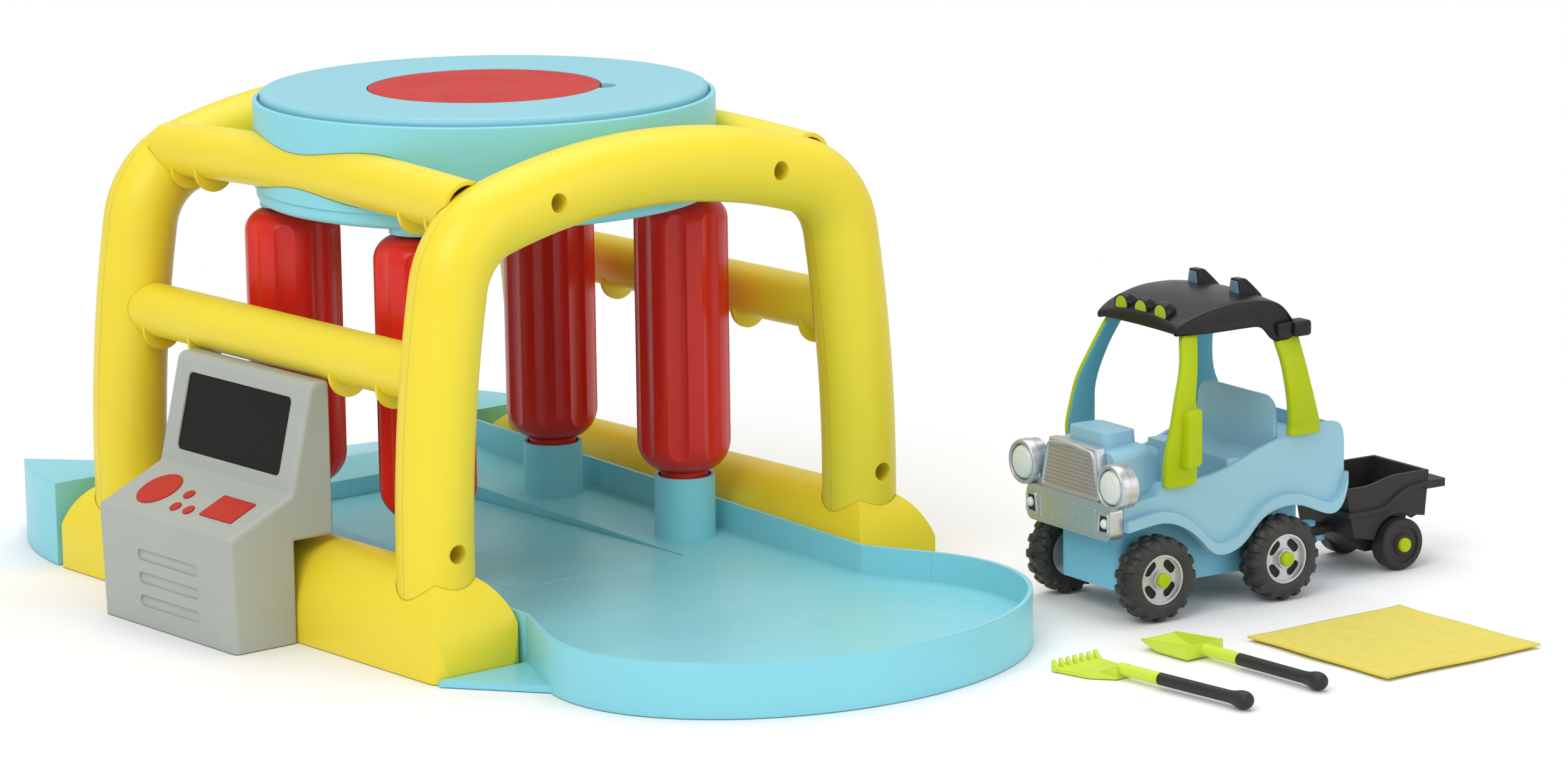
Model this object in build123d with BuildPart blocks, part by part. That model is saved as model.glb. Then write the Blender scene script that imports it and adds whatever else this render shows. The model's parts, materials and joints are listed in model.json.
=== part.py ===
from build123d import *
import math
import os

# Toy car wash playset. Millimetres, +Z up. The origin is on the ground at the middle
# of the tunnel. +X runs along the tunnel to the round wash basin, -Y is the console side.

os.makedirs("parts", exist_ok=True)

# Shared values
wall = 2.5
seat_gap = 0.3
slip_gap = 0.2
shaft_gap = 0.06
overrun = 1.0
right_angle = 90
straight_angle = 180
sides = (-1, 1)

# Tunnel and arches
half_width = 163.0
arch_x = 136.0
leg_y = 137.0
arch_radius = 19.4
crown_z = 232.3
crown_angle = 17
corner_radius = 40.0
lean_radius = 749.0
lean_angle = 10
leg_foot_z = 20.0
crown_screw_y = 70.8
leg_screw_z = 58.8

# Rails
rail_radius = 13.9
rail_wall = 2.2
top_rail_y = 109.0
top_rail_end_z = 223.5
top_rail_bow = 4.5
mid_rail_y = 131.1
mid_rail_z = 142.6
rail_trim = 5.0
spigot_radius = 6.0
spigot_length = 8.0
lug_radius = 12.0
lug_drop = 8.5
lug_thickness = 2.0
top_lug_xs = (-112.0, -90.0, 90.0, 112.0)
mid_near_lug_xs = (-110.0, -68.0, 58.0, 98.0)
mid_far_lug_xs = (-98.0, -58.0, 54.0, 110.0)

# Base tray
tunnel_half = 107.0
floor_thickness = 3.0
apron_x = -155.0
apron_radius = 163.0
apron_front_x = -172.0
crease_x = -176.0
crease_z = 30.0
toe_z = 1.2
lip_x = -137.0
lip_z = 25.0
slope_end_x = 190.0
wing_z = 44.5
wing_inner_x = -198.0
wing_angle = 41.5
wall_rear_z = 43.5
wall_front_z = 27.3
basin_x = 241.9
basin_half_length = 102.4
basin_half_width = 133.3
basin_floor_z = 12.0
basin_rim_z = 27.3
throat_x = 172.0
touch_angle = 109.2
flange_thickness = 3.5
flange_back_x = 172.0
flange_tip_x = 222.0
foot_radius = 6.0

# Panel in the tunnel floor
panel_rear_x = -142.0
panel_front_x = 90.0
panel_half_width = 55.3
panel_top_z = 16.0
panel_thickness = 2.6
panel_gap = 0.5
panel_corner = 3.0

# Side bases
base_half_length = 171.5
base_height = 49.0
base_end_round = 34.0
base_shoulder_z = 12.0
base_corner = 8.0
base_trim = 0.1

# Drum, lid and gears
drum_radius = 120.0
drum_rim_z = 255.7
drum_floor_z = 213.0
drum_floor_thickness = 2.4
drum_ledge_z = 252.7
drum_ledge_height = 3.2
drum_ledge_width = 5.5
lid_radius = 116.0
lid_top_z = 259.3
lid_thickness = 2.8
lid_skirt_z = 253.0
lid_edge_round = 2.2
cap_radius = 60.3
cap_thickness = 3.0
cap_gap = 0.5
notch_angle = 46
notch_radius = 8.0
well_radius = 55.0
well_floor_z = 240.0
hub_radius = 8.0
cover_radius = 119.0
cover_bottom_z = 203.0
cover_plate = 2.4
cover_wall = 2.4
cover_edge_round = 4.0
cover_post_radius = 6.0
cover_post_x = 93.5
cover_post_y = 49.5
cover_hole_radius = 12.0
cover_boss_height = 6.0
gear_module = 2.0
gear_teeth = 89
pinion_teeth = 12
pressure_angle = 25
addendum_share = 0.8
dedendum_share = 1.05
backlash = 0.35
gear_thickness = 4.0
gear_floor = 1.5
gear_window_radius = 16.0
gear_window_circle = 52.0
gear_windows = 6

# Rollers
roller_x = 57.2
roller_radius = 24.8
roller_top_z = 198.5
roller_top_round = 12.5
roller_full_bottom_z = 69.0
roller_bottom_round = 17.0
roller_neck_radius = 12.5
roller_shaft_radius = 5.0
roller_seat_z = 29.7
flute_count = 8
flute_depth = 1.9
flute_radius = 12.0
socket_radius = 16.15
socket_wall = 2.0
socket_top_z = 50.3
collar_radius = 16.5
collar_length = 3.2

# Console
console_x = -5.5
console_width = 119.0
console_toe_y = -201.0
console_brow_y = -203.0
console_brow_z = 58.5
console_ledge_y = -165.0
console_ledge_z = 75.6
console_top_y = -151.5
console_top_z = 130.8
console_back_y = -163.3
console_step_y = -141.0
console_step_z = 52.0
console_wall = 2.2
console_round = 5.0
console_side_round = 2.5
console_tab_x = 35.0
console_tab = 4.0
screen_width = 92.0
screen_height = 40.0
screen_depth = 1.6
screen_corner = 3.0
screen_rise = 27.0
slot_length = 54.0
slot_height = 5.6
slot_depth = 1.0
slot_zs = (13.5, 25.5, 37.5)
slot_x = -3.5
pad_thickness = 0.7
round_pad_x = -36.7
round_pad_y = -183.7
round_pad_radius = 12.75
square_pad_x = 26.0
square_pad_y = -184.5
square_pad_width = 28.0
square_pad_depth = 17.5
dot_pad_radius = 3.3
dot_pad_places = ((-11.9, -182.1), (-10.0, -191.8), (1.5, -191.6))

# Screws
screw_shaft = 1.5
screw_head = 3.3
screw_head_height = 2.0
screw_slot_width = 0.8
screw_slot_depth = 1.0
screw_gap = 0.15
screw_recess = 4.8
screw_boss = 6.6
screw_post = 4.5
screw_floor = 2.4
screw_length = 14.0
base_screw_x = 90.0
base_screw_z = 8.0

# Truck, in its own frame: forward is +X, its left side is +Y
truck_x = 276.3
truck_y = 225.7
truck_heading = -97
wheel_radius = 22.0
wheel_width = 15.5
wheel_outer_y = 46.0
wheel_edge_round = 4.0
front_axle_x = 37.0
rear_axle_x = -42.0
rim_radius = 13.0
rim_dish = 2.5
rim_slot_length = 8.5
rim_slot_width = 4.4
rim_slot_circle = 8.4
rim_slots = 4
axle_radius = 2.4
axle_cap_radius = 3.8
axle_cap_length = 2.4
tread_count = 18
tread_depth = 1.6
tread_width = 2.8
truck_rear_x = -86.0
truck_length = 141.0
truck_height = 88.0
truck_half_width = 36.0
truck_wall = 2.4
truck_corner = 5.0
truck_floor_z = 56.0
flare_half_width = 40.0
flare_height = 6.0
sill_shares = (
    (0.0, 0.63),
    (0.08, 0.46),
    (0.2, 0.53),
    (0.31, 0.545),
    (0.4, 0.49),
    (0.475, 0.375),
    (0.61, 0.335),
    (0.67, 0.42),
    (0.745, 0.515),
    (0.84, 0.565),
    (0.91, 0.56),
    (1.0, 0.54),
)
brim_shares = (
    (0.057, 1.0),
    (0.13, 1.0),
    (0.27, 0.955),
    (0.39, 0.905),
    (0.5, 0.84),
    (0.66, 0.785),
    (0.816, 0.785),
)
fender_share = 0.72
seat_z = 76.0
seat_front_x = -12.0
seat_back_x = -43.0
seat_back_top_z = 104.0
seat_back_half = 32.0
cowl_x = 29.0
bonnet_half_width = 28.0
bonnet_round = 5.0
scoop_length = 22.0
scoop_half_width = 17.0
scoop_height = 6.0
chassis_half_width = 25.0
chassis_bottom_z = 14.0
chassis_front_x = 51.0
chassis_rear_x = -66.0
grille_depth = 6.0
grille_top_half = 20.0
grille_low_half = 26.0
grille_low_z = 62.0
bumper_bottom_z = 43.0
bumper_half_width = 36.0
slat_count = 6
slat_depth = 1.2
lamp_y = 38.0
lamp_z = 72.0
lamp_radius = 9.0
lamp_rim = 2.5
lamp_depth = 5.0
roof_front_x = 24.0
roof_rear_x = -61.0
roof_half_width = 37.6
roof_edge_z = 140.0
roof_side_z = 146.0
roof_crown_z = 161.5
roof_wall = 2.4
roof_top_shares = (
    (0.0, 0.2),
    (0.04, 0.62),
    (0.2, 0.95),
    (0.42, 1.0),
    (0.75, 0.72),
    (0.95, 0.34),
    (1.0, 0.1),
)
roof_lamp_radius = 5.5
roof_lamp_x = 9.0
roof_lamp_y = 17.0
roof_lamp_z = 154.0
pod_top_z = 168.5
pod_tail_z = 158.0
pod_width = 9.0
pod_length = 15.0
pod_crest = 5.0
pod_front_x = -16.5
pod_y = 15.0
nub_x = -51.0
nub_length = 16.0
nub_height = 7.0
nub_depth = 5.0
pillar_outer_y = 35.0
pillar_thickness = 4.4
pillar_top_z = 145.0
front_pillar_foot = (8.0, 28.0)
front_pillar_head = (4.0, 17.0)
rear_pillar_foot = (-70.0, -52.0)
rear_pillar_head = (-56.0, -43.0)
mirror_x = 13.5
mirror_low_z = 75.0
mirror_high_z = 106.0
mirror_width = 11.0
mirror_depth = 4.0

# Trailer, in the truck's frame
hitch_x = -92.0
hitch_z = 22.0
hitch_tongue = 3.0
hitch_pin_radius = 2.2
hitch_cap_radius = 3.6
drawbar_width = 9.0
drawbar_thickness = 4.0
trailer_axle_x = -133.0
trailer_wheel_radius = 13.7
trailer_wheel_width = 11.0
trailer_wheel_outer_y = 28.0
trailer_front_x = -98.5
trailer_rear_x = -154.0
trailer_nose_x = -104.0
trailer_nose_z = 20.0
trailer_belly_x = -118.0
trailer_belly_z = 17.0
trailer_hip_x = -146.0
trailer_hip_z = 27.0
trailer_tail_x = -151.5
trailer_tail_z = 26.0
trailer_arch_radius = 15.5
trailer_half_width = 22.5
trailer_floor_z = 31.5
trailer_top_z = 50.3
trailer_front_top_z = 46.5
trailer_rise_shares = (0.2, 0.65)
trailer_wall = 2.0
trailer_keel_half = 13.0
trailer_keel_z = 9.0
tailboard_x = -165.0
tailboard_z = 40.5
tailboard_thickness = 4.0
band_low_z = 31.2
band_rise = 10.6
band_height = 2.7
band_depth = 1.5
band_shares = (
    (0.0, 0.0),
    (0.15, 0.0),
    (0.28, 0.01),
    (0.38, 0.1),
    (0.5, 0.5),
    (0.62, 0.85),
    (0.76, 1.0),
    (1.0, 1.0),
)

# Cloth and hand tools
cloth_side = 102.0
cloth_thickness = 1.2
cloth_x = 425.2
cloth_y = 237.0
cloth_turn = -3.5
rake_x = 349.0
rake_y = 91.9
rake_turn = 1.8
shovel_x = 348.0
shovel_y = 150.0
shovel_turn = -1.8
tool_length = 119.0
head_length = 34.0
sleeve_length = 25.0
sleeve_radius = 4.6
handle_radius = 3.1
knob_radius = 4.5
knob_length = 16.0
rake_width = 31.0
rake_shoulder_width = 26.0
rake_shoulder_x = 22.0
shovel_width = 24.0
shovel_depth = 8.0
shovel_lip_z = 3.5
shovel_bottom_x = 11.0
shovel_round = 2.5
tool_sheet = 1.8
rake_tines = 7
tine_width = 2.4
tine_height = 5.5
tine_run = 4.0

# Values worked out from the ones above
tunnel_outer = tunnel_half + wall
base_inner = tunnel_outer + seat_gap
base_y = (base_inner + half_width) / 2
base_half_width = (half_width - base_inner) / 2
arch_bore = arch_radius - wall
leg_post_radius = arch_radius + slip_gap + wall
gear_pitch_radius = gear_module * gear_teeth / 2
pinion_pitch_radius = gear_module * pinion_teeth / 2
gear_centres = gear_pitch_radius + pinion_pitch_radius
roller_y = math.sqrt(gear_centres**2 - roller_x**2)
roller_places = [(x * roller_x, y * roller_y) for x in sides for y in sides]
drum_underside_z = drum_floor_z - drum_floor_thickness
gear_z = (cover_bottom_z + cover_plate + drum_underside_z - gear_thickness) / 2


# Arch path: a shallow crown, two corners, and legs that lean in towards the top
lean_start = right_angle - lean_angle
crown_radius = (
    leg_y
    - lean_radius * (1 - math.cos(math.radians(lean_angle)))
    - corner_radius * (math.sin(math.radians(lean_start)) - math.sin(math.radians(crown_angle)))
) / math.sin(math.radians(crown_angle))
leg_top_z = (
    crown_z
    - crown_radius
    + (crown_radius - corner_radius) * math.cos(math.radians(crown_angle))
    - (lean_radius - corner_radius) * math.cos(math.radians(lean_start))
)
crown_screw_z = crown_z - crown_radius + math.sqrt(crown_radius**2 - crown_screw_y**2)
arch_screw_places = [(side * crown_screw_y, crown_screw_z) for side in sides]
arch_screw_places += [(side * leg_y, leg_screw_z) for side in sides]


def arch_line(x):
    """Centre line of the arch at x, from the near foot to the far foot."""
    with BuildLine(Plane.YZ.offset(x)) as path:
        near_leg = Line((-leg_y, leg_foot_z), (-leg_y, leg_top_z))
        lean = JernArc(near_leg @ 1, near_leg % 1, lean_radius, -lean_angle)
        corner_turn = lean_start - crown_angle
        corner = JernArc(lean @ 1, lean % 1, corner_radius, -corner_turn)
        crown = JernArc(corner @ 1, corner % 1, crown_radius, -2 * crown_angle)
        far_corner = JernArc(crown @ 1, crown % 1, corner_radius, -corner_turn)
        far_lean = JernArc(far_corner @ 1, far_corner % 1, lean_radius, -lean_angle)
        Line(far_lean @ 1, (leg_y, leg_foot_z))
    return path.wires()[0]


def arch_tube(x, radius):
    """Solid round bar along the arch at x, for cutting what meets the arch."""
    path = arch_line(x)
    with BuildPart() as bar:
        with BuildSketch(Plane.XY.offset(leg_foot_z)):
            with Locations((x, -leg_y)):
                Circle(radius)
        sweep(path=path)
    return bar.part


def arch_half(side, outward):
    """Half-shell of the front (side 1) or rear (side -1) arch; outward is 1 or -1 along X."""
    x = side * arch_x
    direction = side * outward
    path = arch_line(x)
    with BuildPart() as half:
        with BuildSketch(Plane.XY.offset(leg_foot_z)):
            with Locations((x, -leg_y)):
                Circle(arch_radius)
                Circle(arch_bore, mode=Mode.SUBTRACT)
                keep = Align.MIN if direction > 0 else Align.MAX
                Rectangle(arch_radius, 2 * arch_radius, align=(keep, Align.CENTER), mode=Mode.INTERSECT)
        sweep(path=path)
        post = screw_boss if outward > 0 else screw_post
        with BuildSketch(Plane.YZ.offset(x)):
            with Locations(*arch_screw_places):
                Circle(post)
        extrude(amount=direction * arch_bore)
        if outward > 0:
            with BuildSketch(Plane.YZ.offset(x + direction * screw_floor)):
                with Locations(*arch_screw_places):
                    Circle(screw_recess)
            extrude(amount=direction * arch_radius, mode=Mode.SUBTRACT)
        with BuildSketch(Plane.YZ.offset(x)):
            with Locations(*arch_screw_places):
                Circle(screw_shaft + screw_gap)
        extrude(amount=direction * arch_bore, mode=Mode.SUBTRACT)
        if outward < 0:
            with BuildSketch(Plane.YZ.offset(x)):
                with Locations(*[(y * top_rail_y, top_rail_end_z) for y in sides]):
                    Circle(spigot_radius + slip_gap)
                with Locations(*[(y * mid_rail_y, mid_rail_z) for y in sides]):
                    Circle(spigot_radius + slip_gap)
            extrude(amount=direction * (arch_radius + overrun), mode=Mode.SUBTRACT)
    return half


front_arch_outer = arch_half(1, 1)
front_arch_outer.part.label = "front_arch_outer"
export_step(front_arch_outer.part, "parts/front_arch_outer.step")

front_arch_inner = arch_half(1, -1)
front_arch_inner.part.label = "front_arch_inner"
export_step(front_arch_inner.part, "parts/front_arch_inner.step")

rear_arch_outer = arch_half(-1, 1)
rear_arch_outer.part.label = "rear_arch_outer"
export_step(rear_arch_outer.part, "parts/rear_arch_outer.step")

rear_arch_inner = arch_half(-1, -1)
rear_arch_inner.part.label = "rear_arch_inner"
export_step(rear_arch_inner.part, "parts/rear_arch_inner.step")


# Rails between the arches, bowed along an arc where a bow is given
arch_cutters = [arch_tube(side * arch_x, arch_radius + screw_gap) for side in sides]


def rail_path(y, end_z, bow):
    """Centre line of a rail from the rear trim to the front trim."""
    end_x = arch_x - rail_trim
    with BuildLine(Plane.XZ.offset(-y)) as path:
        if bow:
            ThreePointArc((-end_x, end_z), (0, end_z + bow), (end_x, end_z))
        else:
            Line((-end_x, end_z), (end_x, end_z))
    return path.wires()[0]


def rail_bar(y, end_z, bow, radius):
    """Solid bar along a rail."""
    path = rail_path(y, end_z, bow)
    with BuildPart() as bar:
        with BuildSketch(Plane(path @ 0, z_dir=path % 0)):
            Circle(radius)
        sweep(path=path)
    return bar.part


def rail(y, end_z, bow, lug_xs):
    """Hollow rail with closed ends, end spigots and round lugs underneath."""
    outer = rail_bar(y, end_z, bow, rail_radius)
    inner = rail_bar(y, end_z, bow, rail_radius - rail_wall)
    with BuildPart() as bar:
        add(outer)
        for x in lug_xs:
            lug_z = end_z + bow * (1 - (x / arch_x) ** 2)
            with BuildSketch(Plane.YZ.offset(x - lug_thickness / 2)):
                with Locations((y, lug_z - lug_drop)):
                    Circle(lug_radius)
            extrude(amount=lug_thickness)
        for cutter in arch_cutters:
            add(cutter, mode=Mode.SUBTRACT)
        add(inner, mode=Mode.SUBTRACT)
        for side in sides:
            plug_x = arch_x - arch_radius - spigot_length
            with BuildSketch(Plane.YZ.offset(side * plug_x)):
                with Locations((y, end_z)):
                    Circle(rail_radius - rail_wall / 2)
            extrude(amount=side * wall)
            with BuildSketch(Plane.YZ.offset(side * plug_x)):
                with Locations((y, end_z)):
                    Circle(spigot_radius)
            extrude(amount=side * 2 * spigot_length)
    return bar


top_rail_near = rail(-top_rail_y, top_rail_end_z, top_rail_bow, top_lug_xs)
top_rail_near.part.label = "top_rail_near"
export_step(top_rail_near.part, "parts/top_rail_near.step")

top_rail_far = rail(top_rail_y, top_rail_end_z, top_rail_bow, top_lug_xs)
top_rail_far.part.label = "top_rail_far"
export_step(top_rail_far.part, "parts/top_rail_far.step")

mid_rail_near = rail(-mid_rail_y, mid_rail_z, 0, mid_near_lug_xs)
mid_rail_near.part.label = "mid_rail_near"
export_step(mid_rail_near.part, "parts/mid_rail_near.step")

mid_rail_far = rail(mid_rail_y, mid_rail_z, 0, mid_far_lug_xs)
mid_rail_far.part.label = "mid_rail_far"
export_step(mid_rail_far.part, "parts/mid_rail_far.step")


# Drum housing: a round wall and floor that the top rails pass through
rail_cutters = [
    rail_bar(side * top_rail_y, top_rail_end_z, top_rail_bow, rail_radius + slip_gap) for side in sides
]
cover_post_places = [(x * cover_post_x, y * cover_post_y) for x in sides for y in sides]

with BuildPart() as drum_housing:
    with BuildSketch(Plane.XY.offset(drum_underside_z)):
        Circle(drum_radius)
    extrude(amount=drum_rim_z - drum_underside_z)
    rim_edges = drum_housing.edges().filter_by(GeomType.CIRCLE)
    fillet(rim_edges.sort_by(Axis.Z)[-1], radius=wall / 3)
    with BuildSketch(Plane.XY.offset(drum_floor_z)):
        Circle(drum_radius - wall)
    extrude(amount=drum_rim_z, mode=Mode.SUBTRACT)
    with BuildSketch(Plane.XY.offset(drum_ledge_z - drum_ledge_height)):
        Circle(drum_radius - wall / 2)
        Circle(drum_radius - wall - drum_ledge_width, mode=Mode.SUBTRACT)
    extrude(amount=drum_ledge_height)
    with BuildSketch(Plane.XY.offset(drum_floor_z)):
        with Locations(*cover_post_places):
            Circle(screw_post)
    extrude(amount=cover_boss_height)
    with BuildSketch(Plane.XY.offset(drum_underside_z)):
        with Locations(*cover_post_places):
            Circle(screw_shaft + screw_gap)
    extrude(amount=drum_floor_thickness + cover_boss_height, mode=Mode.SUBTRACT)
    with BuildSketch(Plane.XY.offset(drum_underside_z)):
        Circle(hub_radius + shaft_gap)
        with Locations(*roller_places):
            Circle(roller_shaft_radius + shaft_gap)
    extrude(amount=drum_floor_thickness, mode=Mode.SUBTRACT)
    for cutter in rail_cutters + arch_cutters:
        add(cutter, mode=Mode.SUBTRACT)

drum_housing.part.label = "drum_housing"
export_step(drum_housing.part, "parts/drum_housing.step")


# Gear cover: a shallow dish under the drum, with a collar round each roller shaft
with BuildPart() as gear_cover:
    with BuildSketch(Plane.XY.offset(cover_bottom_z)):
        Circle(cover_radius)
    extrude(amount=drum_underside_z - cover_bottom_z)
    bottom_edge = gear_cover.edges().filter_by(GeomType.CIRCLE).sort_by(Axis.Z)[0]
    fillet(bottom_edge, radius=cover_edge_round)
    with BuildSketch(Plane.XY.offset(cover_bottom_z + cover_plate)):
        Circle(cover_radius - cover_wall - cover_edge_round / 2)
    extrude(amount=drum_underside_z - cover_bottom_z, mode=Mode.SUBTRACT)
    with BuildSketch(Plane.XY.offset(cover_bottom_z - collar_length)):
        with Locations(*roller_places):
            Circle(collar_radius)
    extrude(amount=collar_length + cover_plate / 2)
    with BuildSketch(Plane.XY.offset(cover_bottom_z)):
        with Locations(*cover_post_places):
            Circle(cover_post_radius)
    extrude(amount=drum_underside_z - cover_bottom_z)
    with BuildSketch(Plane.XY.offset(cover_bottom_z - collar_length)):
        Circle(cover_hole_radius)
        with Locations(*roller_places):
            Circle(roller_shaft_radius + shaft_gap)
        with Locations(*cover_post_places):
            Circle(screw_shaft + screw_gap)
    extrude(amount=drum_rim_z - cover_bottom_z, mode=Mode.SUBTRACT)
    with BuildSketch(Plane.XY.offset(cover_bottom_z)):
        with Locations(*cover_post_places):
            Circle(screw_head + screw_gap)
    extrude(amount=screw_head_height, mode=Mode.SUBTRACT)

gear_cover.part.label = "gear_cover"
export_step(gear_cover.part, "parts/gear_cover.step")


# Turning lid with a well for the cap, a bowl below it and the hub
with BuildPart() as drive_disc:
    with BuildSketch(Plane.XY.offset(lid_skirt_z)):
        Circle(lid_radius)
    extrude(amount=lid_top_z - lid_skirt_z)
    fillet(drive_disc.edges().filter_by(GeomType.CIRCLE).sort_by(Axis.Z)[-1], radius=lid_edge_round)
    with BuildSketch(Plane.XY.offset(lid_skirt_z)):
        Circle(lid_radius - wall)
    extrude(amount=lid_top_z - lid_thickness - lid_skirt_z, mode=Mode.SUBTRACT)
    cap_seat_z = lid_top_z - cap_thickness
    notch_x = (cap_radius + cap_gap) * math.cos(math.radians(notch_angle))
    notch_y = (cap_radius + cap_gap) * math.sin(math.radians(notch_angle))
    with BuildSketch(Plane.XY.offset(cap_seat_z - lid_thickness)):
        Circle(cap_radius + cap_gap + wall)
        with Locations((notch_x, notch_y)):
            Circle(notch_radius + wall)
    extrude(amount=lid_thickness + cap_thickness / 2)
    with BuildSketch(Plane.XY.offset(cap_seat_z)):
        Circle(cap_radius + cap_gap)
    extrude(amount=lid_thickness + cap_thickness, mode=Mode.SUBTRACT)
    with BuildSketch(Plane.XY.offset(well_floor_z - lid_thickness)):
        Circle(well_radius + wall)
    extrude(amount=cap_seat_z - well_floor_z + lid_thickness)
    with BuildSketch(Plane.XY.offset(well_floor_z)):
        Circle(well_radius)
    extrude(amount=lid_top_z - well_floor_z, mode=Mode.SUBTRACT)
    with BuildSketch(Plane.XY.offset(cap_seat_z)):
        with Locations((notch_x, notch_y)):
            Circle(notch_radius)
    extrude(amount=lid_top_z - cap_seat_z, mode=Mode.SUBTRACT)
    with BuildSketch(Plane.XY.offset(gear_z + gear_floor)):
        Circle(hub_radius)
    extrude(amount=well_floor_z - gear_z - gear_floor)
    with BuildSketch(Plane.XY.offset(gear_z + gear_floor)):
        Circle(screw_shaft + screw_gap)
    extrude(amount=screw_length + gear_floor, mode=Mode.SUBTRACT)
    with BuildSketch(Plane.XY.offset(gear_z + gear_floor)):
        with Locations((hub_radius * 2 / 3, 0)):
            Rectangle(hub_radius, hub_radius * 2, align=(Align.MIN, Align.CENTER))
    extrude(amount=gear_thickness - gear_floor, mode=Mode.SUBTRACT)

drive_disc.part.label = "drive_disc"
export_step(drive_disc.part, "parts/drive_disc.step")

with BuildPart() as centre_cap:
    with BuildSketch(Plane.XY.offset(cap_seat_z)):
        Circle(cap_radius)
    extrude(amount=cap_thickness)
    fillet(centre_cap.edges().filter_by(GeomType.CIRCLE).sort_by(Axis.Z)[-1], radius=cap_thickness / 4)

centre_cap.part.label = "centre_cap"
export_step(centre_cap.part, "parts/centre_cap.step")


# Gears with straight-sided teeth laid on the involute at the root, pitch and tip circles
def involute(radius, base_radius):
    """Involute function of the pressure angle at a radius."""
    angle = math.acos(min(1, base_radius / radius))
    return math.tan(angle) - angle


def gear_outline(teeth, turn):
    """Corner points of a gear, with one tooth centred on the turn angle in radians."""
    pitch = gear_module * teeth / 2
    base = pitch * math.cos(math.radians(pressure_angle))
    tip = pitch + addendum_share * gear_module
    root = pitch - dedendum_share * gear_module
    half_tooth = math.pi / (2 * teeth) - backlash / (4 * pitch)
    radii = [root, max(base, root) + (pitch - max(base, root)) / 2, pitch, (pitch + tip) / 2, tip]
    flank = []
    for radius in radii:
        angle = half_tooth + involute(pitch, base) - involute(max(radius, base), base)
        flank.append((radius, angle))
    points = []
    for tooth in range(teeth):
        middle = turn + 2 * math.pi * tooth / teeth
        for radius, angle in flank:
            points.append((radius * math.cos(middle - angle), radius * math.sin(middle - angle)))
        for radius, angle in reversed(flank):
            points.append((radius * math.cos(middle + angle), radius * math.sin(middle + angle)))
    return points


with BuildPart() as drive_gear:
    with BuildSketch(Plane.XY.offset(gear_z)):
        Polygon(*gear_outline(gear_teeth, 0), align=None)
        with PolarLocations(gear_window_circle, gear_windows):
            Circle(gear_window_radius, mode=Mode.SUBTRACT)
        Circle(screw_shaft + screw_gap, mode=Mode.SUBTRACT)
    extrude(amount=gear_thickness)
    with BuildSketch(Plane.XY.offset(gear_z + gear_floor)):
        Circle(hub_radius + shaft_gap)
        with Locations((hub_radius * 2 / 3 + shaft_gap, 0)):
            Rectangle(
                hub_radius,
                hub_radius * 2 + wall,
                align=(Align.MIN, Align.CENTER),
                mode=Mode.SUBTRACT,
            )
    extrude(amount=gear_thickness, mode=Mode.SUBTRACT)

drive_gear.part.label = "drive_gear"
export_step(drive_gear.part, "parts/drive_gear.step")


# Fluted brush rollers and the pinion on each top shaft
def roller(place):
    """One fluted roller standing at a place."""
    shaft_top = drum_floor_z - seat_gap
    bottom_drop = math.sqrt(
        roller_bottom_round**2 - (roller_neck_radius - roller_radius + roller_bottom_round) ** 2
    )
    with BuildPart() as body:
        with BuildSketch(Plane.XZ):
            with BuildLine():
                neck = Polyline(
                    (0, roller_seat_z + seat_gap),
                    (roller_neck_radius, roller_seat_z + seat_gap),
                    (roller_neck_radius, roller_full_bottom_z - bottom_drop),
                )
                bottom = RadiusArc(
                    neck @ 1,
                    (roller_radius, roller_full_bottom_z),
                    -roller_bottom_round,
                )
                side_line = Line(bottom @ 1, (roller_radius, roller_top_z - roller_top_round))
                top = RadiusArc(
                    side_line @ 1,
                    (roller_radius - roller_top_round, roller_top_z),
                    -roller_top_round,
                )
                Polyline(
                    top @ 1,
                    (roller_shaft_radius, roller_top_z),
                    (roller_shaft_radius, shaft_top),
                    (0, shaft_top),
                    (0, roller_seat_z + seat_gap),
                )
            make_face()
        revolve(axis=Axis.Z)
        with BuildSketch():
            with PolarLocations(roller_radius + flute_radius - flute_depth, flute_count):
                Circle(flute_radius)
        extrude(amount=drum_rim_z, mode=Mode.SUBTRACT)
    return body.part.moved(Location((place[0], place[1], 0)))


def pinion(place):
    """Pinion meshing with the drive gear at a roller's place."""
    bearing = math.atan2(place[1], place[0])
    gear_pitch_angle = 2 * math.pi / gear_teeth
    past_tooth = bearing % gear_pitch_angle
    turn = bearing + math.pi + past_tooth * gear_teeth / pinion_teeth - math.pi / pinion_teeth
    with BuildPart() as wheel:
        with BuildSketch(Plane.XY.offset(gear_z)):
            Polygon(*gear_outline(pinion_teeth, turn), align=None)
            Circle(roller_shaft_radius + shaft_gap, mode=Mode.SUBTRACT)
        extrude(amount=gear_thickness)
    return wheel.part.moved(Location((place[0], place[1], 0)))


roller_names = ("rear_near", "rear_far", "front_near", "front_far")
rollers = [roller(place) for place in roller_places]
pinions = [pinion(place) for place in roller_places]
for name, body, wheel in zip(roller_names, rollers, pinions):
    body.label = f"roller_{name}"
    wheel.label = f"pinion_{name}"
    export_step(body, f"parts/roller_{name}.step")
    export_step(wheel, f"parts/pinion_{name}.step")


# Screws
def screw(head_plane, length):
    """Pan-head screw whose shaft runs along the plane's normal from the seat of its head."""
    with BuildPart() as fastener:
        with BuildSketch(head_plane):
            Circle(screw_head)
        extrude(amount=-screw_head_height)
        with BuildSketch(head_plane):
            Circle(screw_shaft)
        extrude(amount=length)
        with BuildSketch(head_plane.offset(-screw_head_height)):
            Rectangle(screw_head * 1.4, screw_slot_width)
            Rectangle(screw_slot_width, screw_head * 1.4)
        extrude(amount=screw_slot_depth, mode=Mode.SUBTRACT)
    return fastener.part


def screw_group(planes, length):
    """Separate screws kept together in one piece file."""
    return Compound(children=[screw(plane, length) for plane in planes])


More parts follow.
